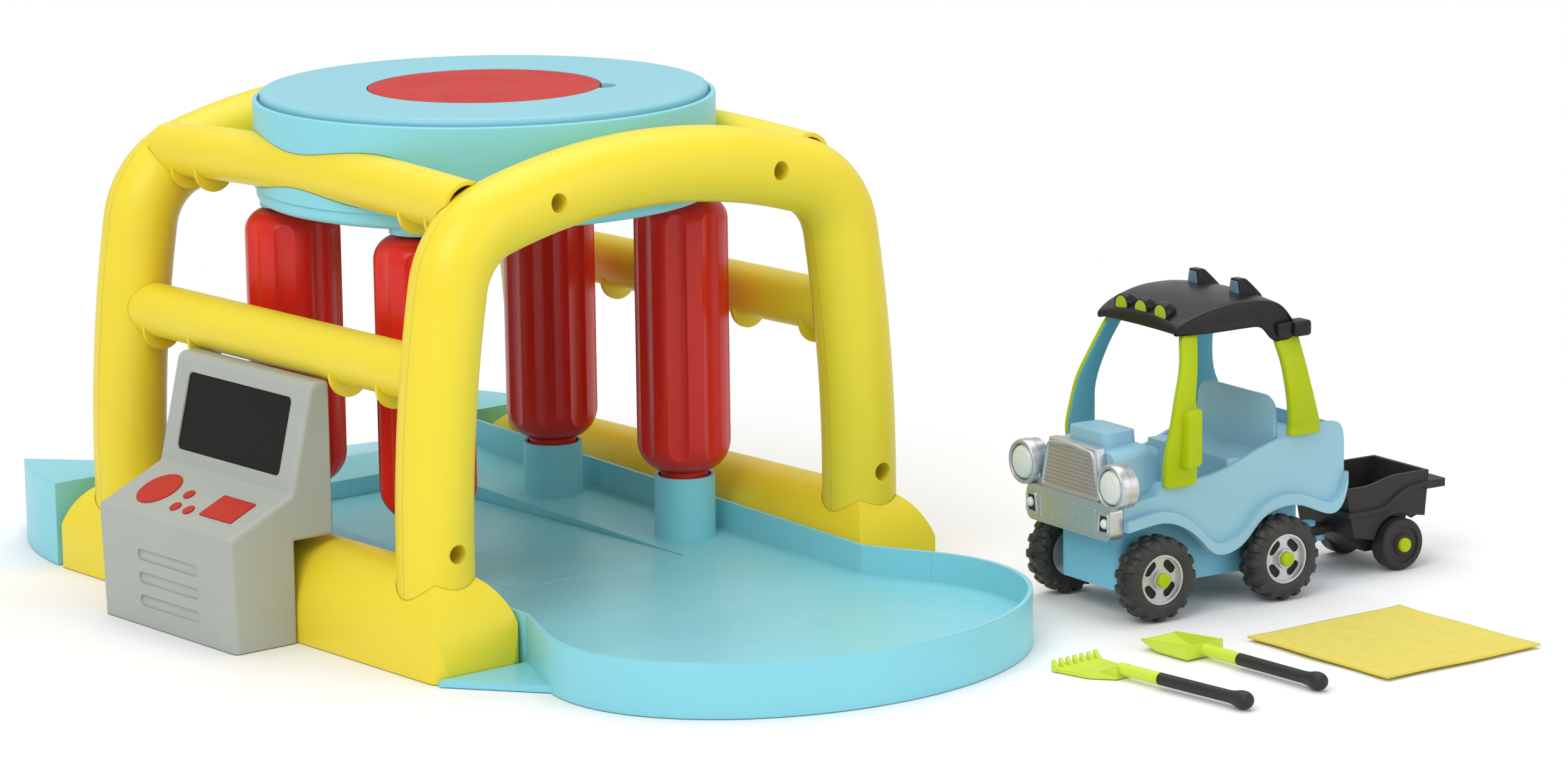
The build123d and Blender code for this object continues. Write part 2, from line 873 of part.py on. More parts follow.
arch_screw_planes = [
    Plane((side * (arch_x + screw_floor), y, z), z_dir=(-side, 0, 0))
    for side in sides
    for y, z in arch_screw_places
]
arch_screws = screw_group(arch_screw_planes, screw_length)
arch_screws.label = "arch_screws"
export_step(arch_screws, "parts/arch_screws.step")

cover_screw_planes = [
    Plane((x, y, cover_bottom_z + screw_head_height)) for x, y in cover_post_places
]
cover_screws = screw_group(cover_screw_planes, screw_length)
cover_screws.label = "cover_screws"
export_step(cover_screws, "parts/cover_screws.step")

base_screw_planes = [
    Plane((x * base_screw_x, y * tunnel_half, base_screw_z), z_dir=(0, y, 0)) for x in sides for y in sides
]
base_screws = screw_group(base_screw_planes, screw_length)
base_screws.label = "base_screws"
export_step(base_screws, "parts/base_screws.step")

hub_screw = screw(Plane.XY.offset(gear_z), screw_length)
hub_screw.label = "hub_screw"
export_step(hub_screw, "parts/hub_screw.step")


# Base tray
def slope_z(x):
    """Height of the sloping tunnel floor at x."""
    share = (x - lip_x) / (slope_end_x - lip_x)
    return lip_z + share * (basin_floor_z - lip_z)


def wall_top_z(x):
    """Height of the low tunnel walls at x."""
    share = (x - wing_inner_x) / (throat_x - wing_inner_x)
    return wall_rear_z + share * (wall_front_z - wall_rear_z)


basin_end_x = basin_x + basin_half_length
apron_end_x = apron_x - apron_radius
# Where each straight throat wall runs into the basin ellipse
touch_x = basin_x + basin_half_length * math.cos(math.radians(touch_angle))
touch_y = basin_half_width * math.sin(math.radians(touch_angle))


def tray_basin(inset):
    """Plan of the basin with its straight throat walls, moved in by the inset."""
    with BuildSketch() as plan:
        with Locations((basin_x, 0)):
            Ellipse(basin_half_length - inset, basin_half_width - inset)
        Polygon(
            (throat_x - wall, tunnel_outer - inset),
            (throat_x, tunnel_outer - inset),
            (touch_x, touch_y - inset),
            (touch_x, inset - touch_y),
            (throat_x, inset - tunnel_outer),
            (throat_x - wall, inset - tunnel_outer),
            align=None,
        )
    return plan.sketch


def tray_apron(inset):
    """Plan of the round apron behind the arches, moved in by the inset."""
    with BuildSketch() as plan:
        with Locations((apron_x, 0)):
            Circle(apron_radius - inset)
        with Locations((apron_front_x - inset, 0)):
            Rectangle(
                apron_radius,
                apron_radius * 2,
                align=(Align.MAX, Align.CENTER),
                mode=Mode.INTERSECT,
            )
    return plan.sketch


def tray_mouth(spread):
    """Plan of the driveway between the wings, widened by the spread."""
    reach = apron_end_x - overrun
    run = wing_inner_x - apron_end_x
    mouth_y = tunnel_half + spread + run * math.tan(math.radians(wing_angle))
    with BuildSketch() as plan:
        Polygon(
            (wing_inner_x, tunnel_half + spread),
            (apron_end_x, mouth_y),
            (reach, mouth_y),
            (reach, -mouth_y),
            (apron_end_x, -mouth_y),
            (wing_inner_x, -tunnel_half - spread),
            align=None,
        )
        Polygon(
            (wing_inner_x - overrun, tunnel_half + spread),
            (throat_x + overrun, tunnel_half + spread),
            (throat_x + overrun, -tunnel_half - spread),
            (wing_inner_x - overrun, -tunnel_half - spread),
            align=None,
        )
    return plan.sketch


def floor_profile(drop, top_z):
    """Upright face at the far side, between the floor line lowered by the drop and a level."""
    with BuildSketch(Plane.XZ.offset(-apron_radius)) as profile:
        Polygon(
            (apron_end_x - overrun, top_z),
            (apron_end_x - overrun, toe_z - drop),
            (apron_end_x, toe_z - drop),
            (crease_x, crease_z - drop),
            (lip_x, lip_z - drop),
            (slope_end_x, basin_floor_z - drop),
            (basin_end_x + overrun, basin_floor_z - drop),
            (basin_end_x + overrun, top_z),
            align=None,
        )
    return profile.sketch


basin_plan = tray_basin(0)
basin_inner_plan = tray_basin(wall)
apron_plan = tray_apron(0)
apron_inner_plan = tray_apron(wall)
mouth_plan = tray_mouth(0)
mouth_outer_plan = tray_mouth(wall)
space_profile = floor_profile(0, apron_radius)
hollow_profile = floor_profile(floor_thickness, -floor_thickness - overrun)

# The open space above the floor
with BuildPart() as tray_space:
    extrude(space_profile, amount=2 * apron_radius, dir=(0, -1, 0))
    with BuildSketch():
        add(mouth_plan)
        add(basin_inner_plan)
    extrude(amount=apron_radius, mode=Mode.INTERSECT)

# The hollow under the floor
with BuildPart() as tray_hollow:
    extrude(hollow_profile, amount=2 * apron_radius, dir=(0, -1, 0))
    with BuildSketch(Plane.XY.offset(-overrun)):
        with Locations(((wing_inner_x + throat_x) / 2, 0)):
            Rectangle(throat_x - wing_inner_x + 2 * wall, 2 * tunnel_half)
        add(basin_inner_plan)
        add(apron_inner_plan)
    extrude(amount=apron_radius, mode=Mode.INTERSECT)

# The hollow inside each wing
with BuildPart() as wing_hollow:
    with BuildSketch(Plane.XY.offset(-overrun)):
        add(apron_inner_plan)
        add(mouth_outer_plan, mode=Mode.SUBTRACT)
    extrude(amount=wing_z - wall + overrun)

trough_x = (panel_rear_x + panel_front_x) / 2
trough_length = panel_front_x - panel_rear_x + 2 * (panel_gap + wall)
trough_width = 2 * (panel_half_width + panel_gap + wall)
trough_seat_z = panel_top_z - panel_thickness
trough_bottom_z = trough_seat_z - wall

with BuildPart() as base_tray:
    # Walls and skirts as full blocks
    with BuildSketch(Plane.XZ.offset(-tunnel_outer)):
        Polygon(
            (wing_inner_x, 0),
            (wing_inner_x, wall_rear_z),
            (throat_x, wall_front_z),
            (throat_x, 0),
            align=None,
        )
    extrude(amount=2 * tunnel_outer)
    add(apron_plan)
    extrude(amount=wing_z)
    add(basin_plan)
    extrude(amount=basin_rim_z)
    # Thin flanges in front of the side bases
    with BuildSketch():
        for side in sides:
            Polygon(
                (flange_back_x, side * tunnel_outer),
                (flange_back_x, side * half_width),
                (flange_tip_x, side * touch_y),
                (basin_x, side * tunnel_outer),
                align=None,
            )
    extrude(amount=flange_thickness)
    add(tray_hollow.part, mode=Mode.SUBTRACT)
    add(wing_hollow.part, mode=Mode.SUBTRACT)
    # Trough that carries the lift-out panel, and the foot under the middle
    with BuildSketch(Plane.XZ.offset(-trough_width / 2)):
        Polygon(
            (trough_x - trough_length / 2, trough_bottom_z),
            (trough_x - trough_length / 2, crease_z - floor_thickness),
            (lip_x, lip_z - floor_thickness / 2),
            (trough_x + trough_length / 2, slope_z(panel_front_x) - floor_thickness / 2),
            (trough_x + trough_length / 2, trough_bottom_z),
            align=None,
        )
    extrude(amount=trough_width)
    with BuildSketch():
        Circle(foot_radius)
    extrude(amount=trough_bottom_z + wall / 2)
    add(tray_space.part, mode=Mode.SUBTRACT)
    # Roller sockets
    with BuildSketch():
        with Locations(*roller_places):
            Circle(socket_radius)
    extrude(amount=socket_top_z)
    with BuildSketch(Plane.XY.offset(-overrun)):
        with Locations(*roller_places):
            Circle(socket_radius - socket_wall)
    extrude(amount=roller_seat_z - floor_thickness + overrun, mode=Mode.SUBTRACT)
    with BuildSketch(Plane.XY.offset(roller_seat_z)):
        with Locations(*roller_places):
            Circle(socket_radius - socket_wall)
    extrude(amount=socket_top_z, mode=Mode.SUBTRACT)
    # Pocket for the panel
    with BuildSketch(Plane.XY.offset(trough_seat_z)):
        with Locations((trough_x, 0)):
            RectangleRounded(
                trough_length - 2 * wall,
                trough_width - 2 * wall,
                panel_corner + panel_gap,
            )
    extrude(amount=apron_radius, mode=Mode.SUBTRACT)
    # Screw holes in the skirts
    with BuildSketch(Plane.XZ.offset(-tunnel_outer - overrun)):
        with Locations(*[(x * base_screw_x, base_screw_z) for x in sides]):
            Circle(screw_shaft + screw_gap)
    extrude(amount=2 * (tunnel_outer + overrun), mode=Mode.SUBTRACT)

base_tray.part.label = "base_tray"
export_step(base_tray.part, "parts/base_tray.step")

with BuildPart() as floor_panel:
    with BuildSketch(Plane.XY.offset(trough_seat_z)):
        with Locations((trough_x, 0)):
            RectangleRounded(panel_front_x - panel_rear_x, 2 * panel_half_width, panel_corner)
    extrude(amount=panel_thickness)
    fillet(floor_panel.faces().sort_by(Axis.Z)[-1].edges(), radius=panel_thickness / 3)

floor_panel.part.label = "floor_panel"
export_step(floor_panel.part, "parts/floor_panel.step")


# Side bases with leg sockets
def base_form(side, inset):
    """Rounded block of a side base, moved in by the inset."""
    with BuildPart() as form:
        with BuildSketch(Plane.XZ.offset(-half_width)):
            length = base_half_length - inset
            height = base_height - inset
            flat = base_half_length - base_end_round
            Rectangle(2 * flat, height, align=(Align.CENTER, Align.MIN))
            for end in sides:
                with Locations((end * flat, 0)):
                    Ellipse(length - flat, height)
            Rectangle(2 * length, height, align=(Align.CENTER, Align.MIN), mode=Mode.INTERSECT)
        extrude(amount=2 * half_width)
        with BuildSketch(Plane.YZ.offset(-base_half_length)):
            with Locations((side * base_y, 0)):
                Rectangle(2 * (base_half_width - inset), base_shoulder_z, align=(Align.CENTER, Align.MIN))
            with Locations((side * base_y, base_shoulder_z)):
                Ellipse(base_half_width - inset, height - base_shoulder_z)
        extrude(amount=2 * base_half_length, mode=Mode.INTERSECT)
        with BuildSketch():
            with Locations((0, side * base_y)):
                RectangleRounded(
                    2 * (base_half_length - base_trim - inset),
                    2 * (base_half_width - inset),
                    base_corner - inset,
                )
        extrude(amount=2 * base_height, mode=Mode.INTERSECT)
    return form.part


def side_base(side):
    """Hollow side base, open below, with a post that holds each leg."""
    outer = base_form(side, 0)
    inner = base_form(side, wall)
    leg_places = [(x * arch_x, side * leg_y) for x in sides]
    with BuildPart() as posts:
        with BuildSketch():
            with Locations(*leg_places):
                Circle(leg_post_radius)
        extrude(amount=base_height)
        with BuildSketch(Plane.XZ.offset(-side * base_inner)):
            with Locations(*[(x * base_screw_x, base_screw_z) for x in sides]):
                Circle(screw_post)
        extrude(amount=-side * screw_length)
        add(outer, mode=Mode.INTERSECT)
    with BuildPart() as base:
        add(outer)
        add(inner, mode=Mode.SUBTRACT)
        add(posts.part)
        with BuildSketch(Plane.XY.offset(leg_foot_z - seat_gap)):
            with Locations(*leg_places):
                Circle(arch_radius + slip_gap)
        extrude(amount=base_height, mode=Mode.SUBTRACT)
        with BuildSketch():
            with Locations(*leg_places):
                Circle(arch_radius)
        extrude(amount=leg_foot_z - floor_thickness, mode=Mode.SUBTRACT)
        with BuildSketch(Plane.XZ.offset(-side * (base_inner - overrun))):
            with Locations(*[(x * base_screw_x, base_screw_z) for x in sides]):
                Circle(screw_shaft + screw_gap)
        extrude(amount=-side * screw_length, mode=Mode.SUBTRACT)
    return base


side_base_near = side_base(-1)
side_base_near.part.label = "side_base_near"
export_step(side_base_near.part, "parts/side_base_near.step")

side_base_far = side_base(1)
side_base_far.part.label = "side_base_far"
export_step(side_base_far.part, "parts/side_base_far.step")


# Console: a hollow front shell, a back plate, the screen and flat pads
ledge_slope = math.atan2(console_ledge_z - console_brow_z, console_ledge_y - console_brow_y)
screen_lean = math.atan2(console_top_y - console_ledge_y, console_top_z - console_ledge_z)
screen_plane = Plane(
    (console_x, console_ledge_y + screen_rise * math.tan(screen_lean), console_ledge_z + screen_rise),
    x_dir=(1, 0, 0),
    z_dir=(0, -math.cos(screen_lean), math.sin(screen_lean)),
)
front_lean = math.atan2(console_brow_y - console_toe_y, console_brow_z)


def on_ledge(x, y):
    """Plane on the sloping ledge at a plan position."""
    z = console_brow_z + (y - console_brow_y) * math.tan(ledge_slope)
    return Plane((x, y, z), x_dir=(1, 0, 0), z_dir=(0, -math.sin(ledge_slope), math.cos(ledge_slope)))


def on_front(z):
    """Plane on the front face at a height."""
    y = console_toe_y + z * math.tan(front_lean)
    return Plane((slot_x, y, z), x_dir=(1, 0, 0), z_dir=(0, -math.cos(front_lean), -math.sin(front_lean)))


def console_section(inset, back_gap):
    """Outline of the console in YZ, moved in by the inset; the back moves by the back gap."""
    back = console_back_y + back_gap
    step = console_step_y + back_gap
    with BuildSketch(Plane.YZ.offset(console_x - console_width / 2 + inset)) as section:
        Polygon(
            (console_toe_y + inset, 0),
            (console_brow_y + inset, console_brow_z - inset / 2),
            (console_ledge_y + inset, console_ledge_z - inset / 2),
            (console_top_y + inset, console_top_z - inset),
            (step, console_top_z - inset),
            (step, console_step_z - back_gap),
            (back, console_step_z - back_gap),
            (back, 0),
            align=None,
        )
    return section.sketch


console_outer_section = console_section(0, 0)
console_inner_section = console_section(console_wall, overrun)

with BuildPart() as console_shell:
    extrude(console_outer_section, amount=console_width, dir=(1, 0, 0))
    long_edges = console_shell.edges().filter_by(Axis.X).filter_by_position(
        Axis.Z, console_top_z - overrun, console_top_z + overrun
    )
    fillet(long_edges.sort_by(Axis.Y)[0], radius=console_round)
    ridge_edges = console_shell.edges().filter_by(Axis.X).filter_by_position(
        Axis.Z, console_brow_z - overrun, console_ledge_z + overrun
    )
    fillet(ridge_edges.sort_by(Axis.Y)[:2], radius=console_side_round)
    front_edges = console_shell.edges().filter_by(lambda edge: edge.length < console_top_z)
    side_edges = front_edges.filter_by(Axis.X, reverse=True).filter_by_position(
        Axis.Y, console_brow_y - overrun, console_step_y - overrun
    )
    rounded_edges = side_edges.filter_by_position(Axis.Z, overrun, console_top_z + overrun)
    fillet(rounded_edges, radius=console_side_round)
    extrude(
        console_inner_section,
        amount=console_width - 2 * console_wall,
        dir=(1, 0, 0),
        mode=Mode.SUBTRACT,
    )
    with BuildSketch(screen_plane.offset(-screen_depth - console_wall)):
        RectangleRounded(screen_width + 2 * console_wall, screen_height + 2 * console_wall, screen_corner)
    extrude(amount=console_wall + screen_depth / 2)
    with BuildSketch(screen_plane.offset(-screen_depth)):
        RectangleRounded(screen_width, screen_height, screen_corner)
    extrude(amount=screen_depth + overrun, mode=Mode.SUBTRACT)
    for z in slot_zs:
        with BuildSketch(on_front(z).offset(-slot_depth)):
            SlotOverall(slot_length, slot_height)
        extrude(amount=slot_depth + overrun, mode=Mode.SUBTRACT)

console_shell.part.label = "console_shell"
export_step(console_shell.part, "parts/console_shell.step")

with BuildPart() as console_back:
    inner_width = console_width - 2 * console_wall - 2 * slip_gap
    with BuildSketch(Plane.YZ.offset(console_x - inner_width / 2)):
        Polygon(
            (console_back_y - console_wall, seat_gap),
            (console_back_y, seat_gap),
            (console_back_y, console_step_z),
            (console_step_y, console_step_z),
            (console_step_y, console_top_z - console_wall - slip_gap),
            (console_step_y - console_wall, console_top_z - console_wall - slip_gap),
            (console_step_y - console_wall, console_step_z + console_wall),
            (console_back_y - console_wall, console_step_z + console_wall),
            align=None,
        )
    extrude(amount=inner_width)
    with BuildSketch(Plane.XZ.offset(-console_step_y)):
        with Locations((console_tab_x, console_top_z - console_wall - console_tab)):
            Rectangle(2 * console_tab, console_tab)
    extrude(amount=-console_tab)

console_back.part.label = "console_back"
export_step(console_back.part, "parts/console_back.step")

with BuildPart() as console_screen:
    with BuildSketch(screen_plane.offset(-screen_depth)):
        RectangleRounded(screen_width - 2 * slip_gap, screen_height - 2 * slip_gap, screen_corner)
    extrude(amount=screen_depth / 2)

console_screen.part.label = "console_screen"
export_step(console_screen.part, "parts/console_screen.step")

with BuildPart() as console_round_pad:
    with BuildSketch(on_ledge(round_pad_x, round_pad_y)):
        Circle(round_pad_radius)
    extrude(amount=pad_thickness)
    fillet(console_round_pad.faces().sort_by(Axis.Z)[-1].edges(), radius=pad_thickness / 2)

console_round_pad.part.label = "console_round_pad"
export_step(console_round_pad.part, "parts/console_round_pad.step")

with BuildPart() as console_square_pad:
    with BuildSketch(on_ledge(square_pad_x, square_pad_y)):
        RectangleRounded(square_pad_width, square_pad_depth, pad_thickness)
    extrude(amount=pad_thickness)

console_square_pad.part.label = "console_square_pad"
export_step(console_square_pad.part, "parts/console_square_pad.step")

with BuildPart() as console_dot_pads:
    for x, y in dot_pad_places:
        with BuildSketch(on_ledge(x, y)):
            Circle(dot_pad_radius)
        extrude(amount=pad_thickness)

console_dot_pads.part.label = "console_dot_pads"
export_step(console_dot_pads.part, "parts/console_dot_pads.step")


# Truck, built in its own frame and placed at the end
truck_place = Location((truck_x, truck_y, 0), (0, 0, truck_heading))
truck_front_x = truck_rear_x + truck_length
truck_middle_x = truck_rear_x + truck_length / 2
inner_half_width = truck_half_width - truck_wall
axle_z = wheel_radius
sill_points = [(truck_rear_x + s * truck_length, t * truck_height) for s, t in sill_shares]
brim_points = [(truck_rear_x + s * truck_length, t * truck_height) for s, t in brim_shares]
fender_z = fender_share * truck_height


def across(half):
    """Upright plane along the truck, from which a sketch extrudes over twice the half width."""
    return Plane.XZ.offset(-half)


def flare_band(side):
    """Raised band that follows the wavy sill on one side."""
    with BuildPart() as band:
        with BuildSketch(Plane.XZ.offset(-side * inner_half_width)):
            with BuildLine():
                low = Spline(*sill_points)
                high = Spline(*[(x, z + flare_height) for x, z in sill_points])
                Line(low @ 0, high @ 0)
                Line(low @ 1, high @ 1)
            make_face()
        extrude(amount=-side * (flare_half_width - inner_half_width))
    return band.part


flares = [flare_band(side) for side in sides]

with BuildPart() as truck_body:
    # Tub whose lower edge is the wavy sill and whose upper edge is the brim
    with BuildSketch(across(truck_half_width)):
        with BuildLine():
            sill = Spline(*sill_points)
            brim = Spline(*brim_points)
            rear_line = Line(sill @ 0, (truck_rear_x, truck_height - 3 * truck_corner))
            Spline(rear_line @ 1, brim @ 0, tangents=((0, 1), (1, 0)))
            Polyline(
                brim @ 1,
                (cowl_x + truck_corner, fender_z),
                (truck_front_x, fender_z - truck_corner / 2),
                sill @ 1,
            )
        make_face()
    extrude(amount=2 * truck_half_width)
    with BuildSketch(across(bonnet_half_width)):
        Polygon(
            (cowl_x - truck_wall, truck_floor_z),
            (cowl_x - truck_wall, truck_height - truck_wall),
            (cowl_x + truck_corner, truck_height),
            (truck_front_x, truck_height - truck_wall),
            (truck_front_x, truck_floor_z),
            align=None,
        )
    extrude(amount=2 * bonnet_half_width)
    top_lines = truck_body.edges().filter_by_position(
        Axis.Z, truck_height - 2 * truck_wall, truck_height + overrun
    )
    for side in sides:
        bonnet_y = side * bonnet_half_width
        bonnet_lines = top_lines.filter_by_position(Axis.Y, bonnet_y - overrun, bonnet_y + overrun)
        fillet(bonnet_lines.filter_by_position(Axis.X, cowl_x, truck_front_x), radius=bonnet_round)
    # Space for the chassis below, cockpit above, and the hollow of the bonnet
    with BuildSketch():
        with Locations((truck_middle_x, 0)):
            Rectangle(truck_length - 2 * truck_wall, 2 * inner_half_width)
    extrude(amount=truck_floor_z - truck_wall, mode=Mode.SUBTRACT)
    with BuildSketch(Plane.XY.offset(truck_floor_z)):
        with Locations(((cowl_x + truck_rear_x) / 2, 0)):
            Rectangle(cowl_x - truck_rear_x - 2 * truck_wall, 2 * inner_half_width)
    extrude(amount=truck_height, mode=Mode.SUBTRACT)
    with BuildSketch(Plane.XY.offset(truck_floor_z - truck_wall)):
        with Locations(((truck_front_x + cowl_x) / 2, 0)):
            Rectangle(
                truck_front_x - cowl_x - 2 * truck_wall,
                2 * (bonnet_half_width - bonnet_round),
            )
    extrude(amount=truck_height - truck_floor_z - bonnet_round, mode=Mode.SUBTRACT)
    # Bench, its high rounded back and the deck behind it
    with BuildSketch(Plane.XY.offset(truck_floor_z)):
        with Locations(((seat_front_x + seat_back_x) / 2, 0)):
            Rectangle(seat_front_x - seat_back_x, 2 * inner_half_width)
    extrude(amount=seat_z - truck_floor_z)
    with BuildSketch(Plane.YZ.offset(seat_back_x)):
        with Locations((0, (truck_floor_z + seat_back_top_z) / 2)):
            RectangleRounded(2 * seat_back_half, seat_back_top_z - truck_floor_z, 2 * truck_corner)
    extrude(amount=-truck_wall)
    with BuildSketch(Plane.XY.offset(seat_z)):
        with Locations(((seat_back_x + truck_rear_x) / 2, 0)):
            Rectangle(seat_back_x - truck_rear_x - truck_wall, 2 * inner_half_width)
    extrude(amount=truck_wall)
    # Scoop on the bonnet
    with BuildSketch(Plane.XY.offset(truck_height - bonnet_round)):
        with Locations(((cowl_x + truck_front_x) / 2, 0)):
            RectangleRounded(scoop_length, 2 * scoop_half_width, truck_corner)
    extrude(amount=scoop_height + bonnet_round, taper=truck_corner)
    for band in flares:
        add(band)

truck_body.part.label = "truck_body"
export_step(truck_body.part.moved(truck_place), "parts/truck_body.step")

with BuildPart() as truck_chassis:
    chassis_top_z = truck_floor_z - truck_wall - seat_gap
    chassis_length = chassis_front_x - chassis_rear_x
    with BuildSketch(Plane.XY.offset(chassis_bottom_z)):
        with Locations(((chassis_front_x + chassis_rear_x) / 2, 0)):
            RectangleRounded(chassis_length, 2 * chassis_half_width, truck_corner)
    extrude(amount=chassis_top_z - chassis_bottom_z)
    with BuildSketch(Plane.XY.offset(chassis_bottom_z)):
        with Locations(((chassis_front_x + chassis_rear_x) / 2, 0)):
            Rectangle(chassis_length - 2 * truck_wall, 2 * (chassis_half_width - truck_wall))
    extrude(amount=chassis_top_z - chassis_bottom_z - truck_wall, mode=Mode.SUBTRACT)
    # Tongue, pin and cap of the hitch
    with BuildSketch(Plane.XY.offset(hitch_z - drawbar_thickness / 2 - seat_gap)):
        with Locations(((hitch_x + chassis_rear_x) / 2, 0)):
            SlotOverall(chassis_rear_x - hitch_x + 2 * drawbar_width, drawbar_width + truck_wall)
    extrude(amount=-hitch_tongue)
    with BuildSketch(Plane.XY.offset(hitch_z - drawbar_thickness / 2 - seat_gap)):
        with Locations((hitch_x, 0)):
            Circle(hitch_pin_radius)
    extrude(amount=drawbar_thickness + 2 * seat_gap)
    with BuildSketch(Plane.XY.offset(hitch_z + drawbar_thickness / 2 + seat_gap)):
        with Locations((hitch_x, 0)):
            Circle(hitch_cap_radius)
    extrude(amount=truck_wall)
    with BuildSketch(across(chassis_half_width + overrun)):
        with Locations((front_axle_x, axle_z), (rear_axle_x, axle_z)):
            Circle(axle_radius + shaft_gap)
    extrude(amount=2 * (chassis_half_width + overrun), mode=Mode.SUBTRACT)

truck_chassis.part.label = "truck_chassis"
export_step(truck_chassis.part.moved(truck_place), "parts/truck_chassis.step")

with BuildPart() as truck_grille:
    grille_x = truck_front_x + slip_gap
    with BuildSketch(Plane.YZ.offset(grille_x)):
        Polygon(
            (-grille_low_half, grille_low_z - truck_wall),
            (-grille_top_half, truck_height),
            (grille_top_half, truck_height),
            (grille_low_half, grille_low_z - truck_wall),
            align=None,
        )
        for side in sides:
            with Locations((side * lamp_y, lamp_z)):
                Circle(lamp_radius + lamp_rim)
        with Locations((0, lamp_z - lamp_radius)):
            Rectangle(2 * lamp_y, 2 * lamp_rim)
    extrude(amount=grille_depth)
    fillet(truck_grille.faces().sort_by(Axis.X)[-1].edges(), radius=lamp_rim / 2)
    with BuildSketch(Plane.YZ.offset(grille_x)):
        with Locations((0, (bumper_bottom_z + grille_low_z) / 2)):
            RectangleRounded(2 * bumper_half_width, grille_low_z - bumper_bottom_z, truck_corner)
    extrude(amount=grille_depth + truck_wall)
    slat_pitch = (truck_height - grille_low_z - 2 * truck_wall) / slat_count
    with BuildSketch(Plane.YZ.offset(grille_x + grille_depth)):
        for slat in range(slat_count):
            slat_z = grille_low_z + truck_wall + slat_pitch * (slat + 1 / 2)
            reach = (truck_height - slat_z) / (truck_height - grille_low_z)
            half = grille_top_half + (grille_low_half - grille_top_half) * reach - 2 * truck_wall
            with Locations((0, slat_z)):
                SlotOverall(2 * half, slat_pitch / 2)
    extrude(amount=-slat_depth, mode=Mode.SUBTRACT)

truck_grille.part.label = "truck_grille"
export_step(truck_grille.part.moved(truck_place), "parts/truck_grille.step")

with BuildPart() as truck_headlamps:
    with BuildSketch(Plane.YZ.offset(grille_x + grille_depth)):
        with Locations(*[(side * lamp_y, lamp_z) for side in sides]):
            Circle(lamp_radius)
    extrude(amount=lamp_depth)
    lamp_fronts = truck_headlamps.faces().filter_by(Axis.X).group_by(Axis.X)[-1]
    fillet(lamp_fronts.edges(), radius=lamp_depth * 2 / 3)

truck_headlamps.part.label = "truck_headlamps"
export_step(truck_headlamps.part.moved(truck_place), "parts/truck_headlamps.step")


def pillar_pair(side):
    """Front pillar with its mirror block, and rear pillar, on one side."""
    face_y = side * pillar_outer_y
    with BuildPart() as pair:
        with BuildSketch(Plane.XZ.offset(-face_y)):
            foot_z = brim_shares[-1][1] * truck_height + slip_gap
            Polygon(
                (front_pillar_foot[0], foot_z),
                (front_pillar_head[0], pillar_top_z),
                (front_pillar_head[1], pillar_top_z),
                (front_pillar_foot[1], foot_z),
                align=None,
            )
            deck_z = truck_height + slip_gap
            Polygon(
                (rear_pillar_foot[0], deck_z),
                (rear_pillar_head[0], pillar_top_z),
                (rear_pillar_head[1], pillar_top_z),
                (rear_pillar_foot[1], deck_z),
                align=None,
            )
        extrude(amount=side * pillar_thickness)
        upright = pair.edges().filter_by_position(
            Axis.Z, (truck_height + foot_z) / 2 + truck_corner, pillar_top_z - overrun
        )
        fillet(upright.filter_by(GeomType.LINE).filter_by(Axis.Y, reverse=True), radius=truck_wall / 2)
        with BuildSketch(Plane.XZ.offset(-face_y + side * truck_wall)):
            with Locations((mirror_x, (mirror_low_z + mirror_high_z) / 2)):
                RectangleRounded(mirror_width, mirror_high_z - mirror_low_z, mirror_width / 3)
        extrude(amount=-side * (mirror_depth + truck_wall))
    return pair


truck_pillars_left = pillar_pair(1)
truck_pillars_left.part.label = "truck_pillars_left"
export_step(truck_pillars_left.part.moved(truck_place), "parts/truck_pillars_left.step")

truck_pillars_right = pillar_pair(-1)
truck_pillars_right.part.label = "truck_pillars_right"
export_step(truck_pillars_right.part.moved(truck_place), "parts/truck_pillars_right.step")


def roof_form(inset):
    """Arched roof block, moved in by the inset; its lower part runs on below the edge."""
    rear = roof_rear_x + inset
    length = roof_front_x - roof_rear_x - 2 * inset
    rise = roof_crown_z - inset - roof_edge_z
    low = roof_edge_z - inset
    with BuildPart() as form:
        with BuildSketch(across(roof_half_width)):
            with BuildLine():
                top = Spline(*[(rear + s * length, roof_edge_z + t * rise) for s, t in roof_top_shares])
                Polyline(top @ 0, (rear, low), (rear + length, low), top @ 1)
            make_face()
        extrude(amount=2 * roof_half_width)
        with BuildSketch(Plane.YZ.offset(roof_rear_x)):
            with Locations((0, low)):
                Rectangle(
                    2 * (roof_half_width - inset),
                    roof_side_z - inset - low,
                    align=(Align.CENTER, Align.MIN),
                )
            with Locations((0, roof_side_z - inset)):
                Ellipse(roof_half_width - inset, roof_crown_z - roof_side_z)
        extrude(amount=roof_front_x - roof_rear_x, mode=Mode.INTERSECT)
    return form.part


roof_outer = roof_form(0)
roof_inner = roof_form(roof_wall)

with BuildPart() as truck_roof:
    add(roof_outer)
    # Two wedge pods, three round lamps in front of them and a nub at each rear corner
    for side in sides:
        with BuildSketch(Plane.XZ.offset(-side * pod_y - pod_width / 2)):
            Polygon(
                (pod_front_x, roof_side_z),
                (pod_front_x, pod_top_z),
                (pod_front_x - pod_crest, pod_top_z),
                (pod_front_x - pod_length, pod_tail_z),
                (pod_front_x - pod_length, roof_side_z),
                align=None,
            )
        extrude(amount=pod_width)
    with Locations(*[(roof_lamp_x, row * roof_lamp_y, roof_lamp_z) for row in (-1, 0, 1)]):
        Sphere(roof_lamp_radius)
    with BuildSketch(Plane.XY.offset(roof_edge_z - roof_wall)):
        with Locations(*[(nub_x, side * roof_half_width) for side in sides]):
            RectangleRounded(nub_length, 2 * nub_depth, truck_wall)
    extrude(amount=nub_height)
    add(roof_inner, mode=Mode.SUBTRACT)

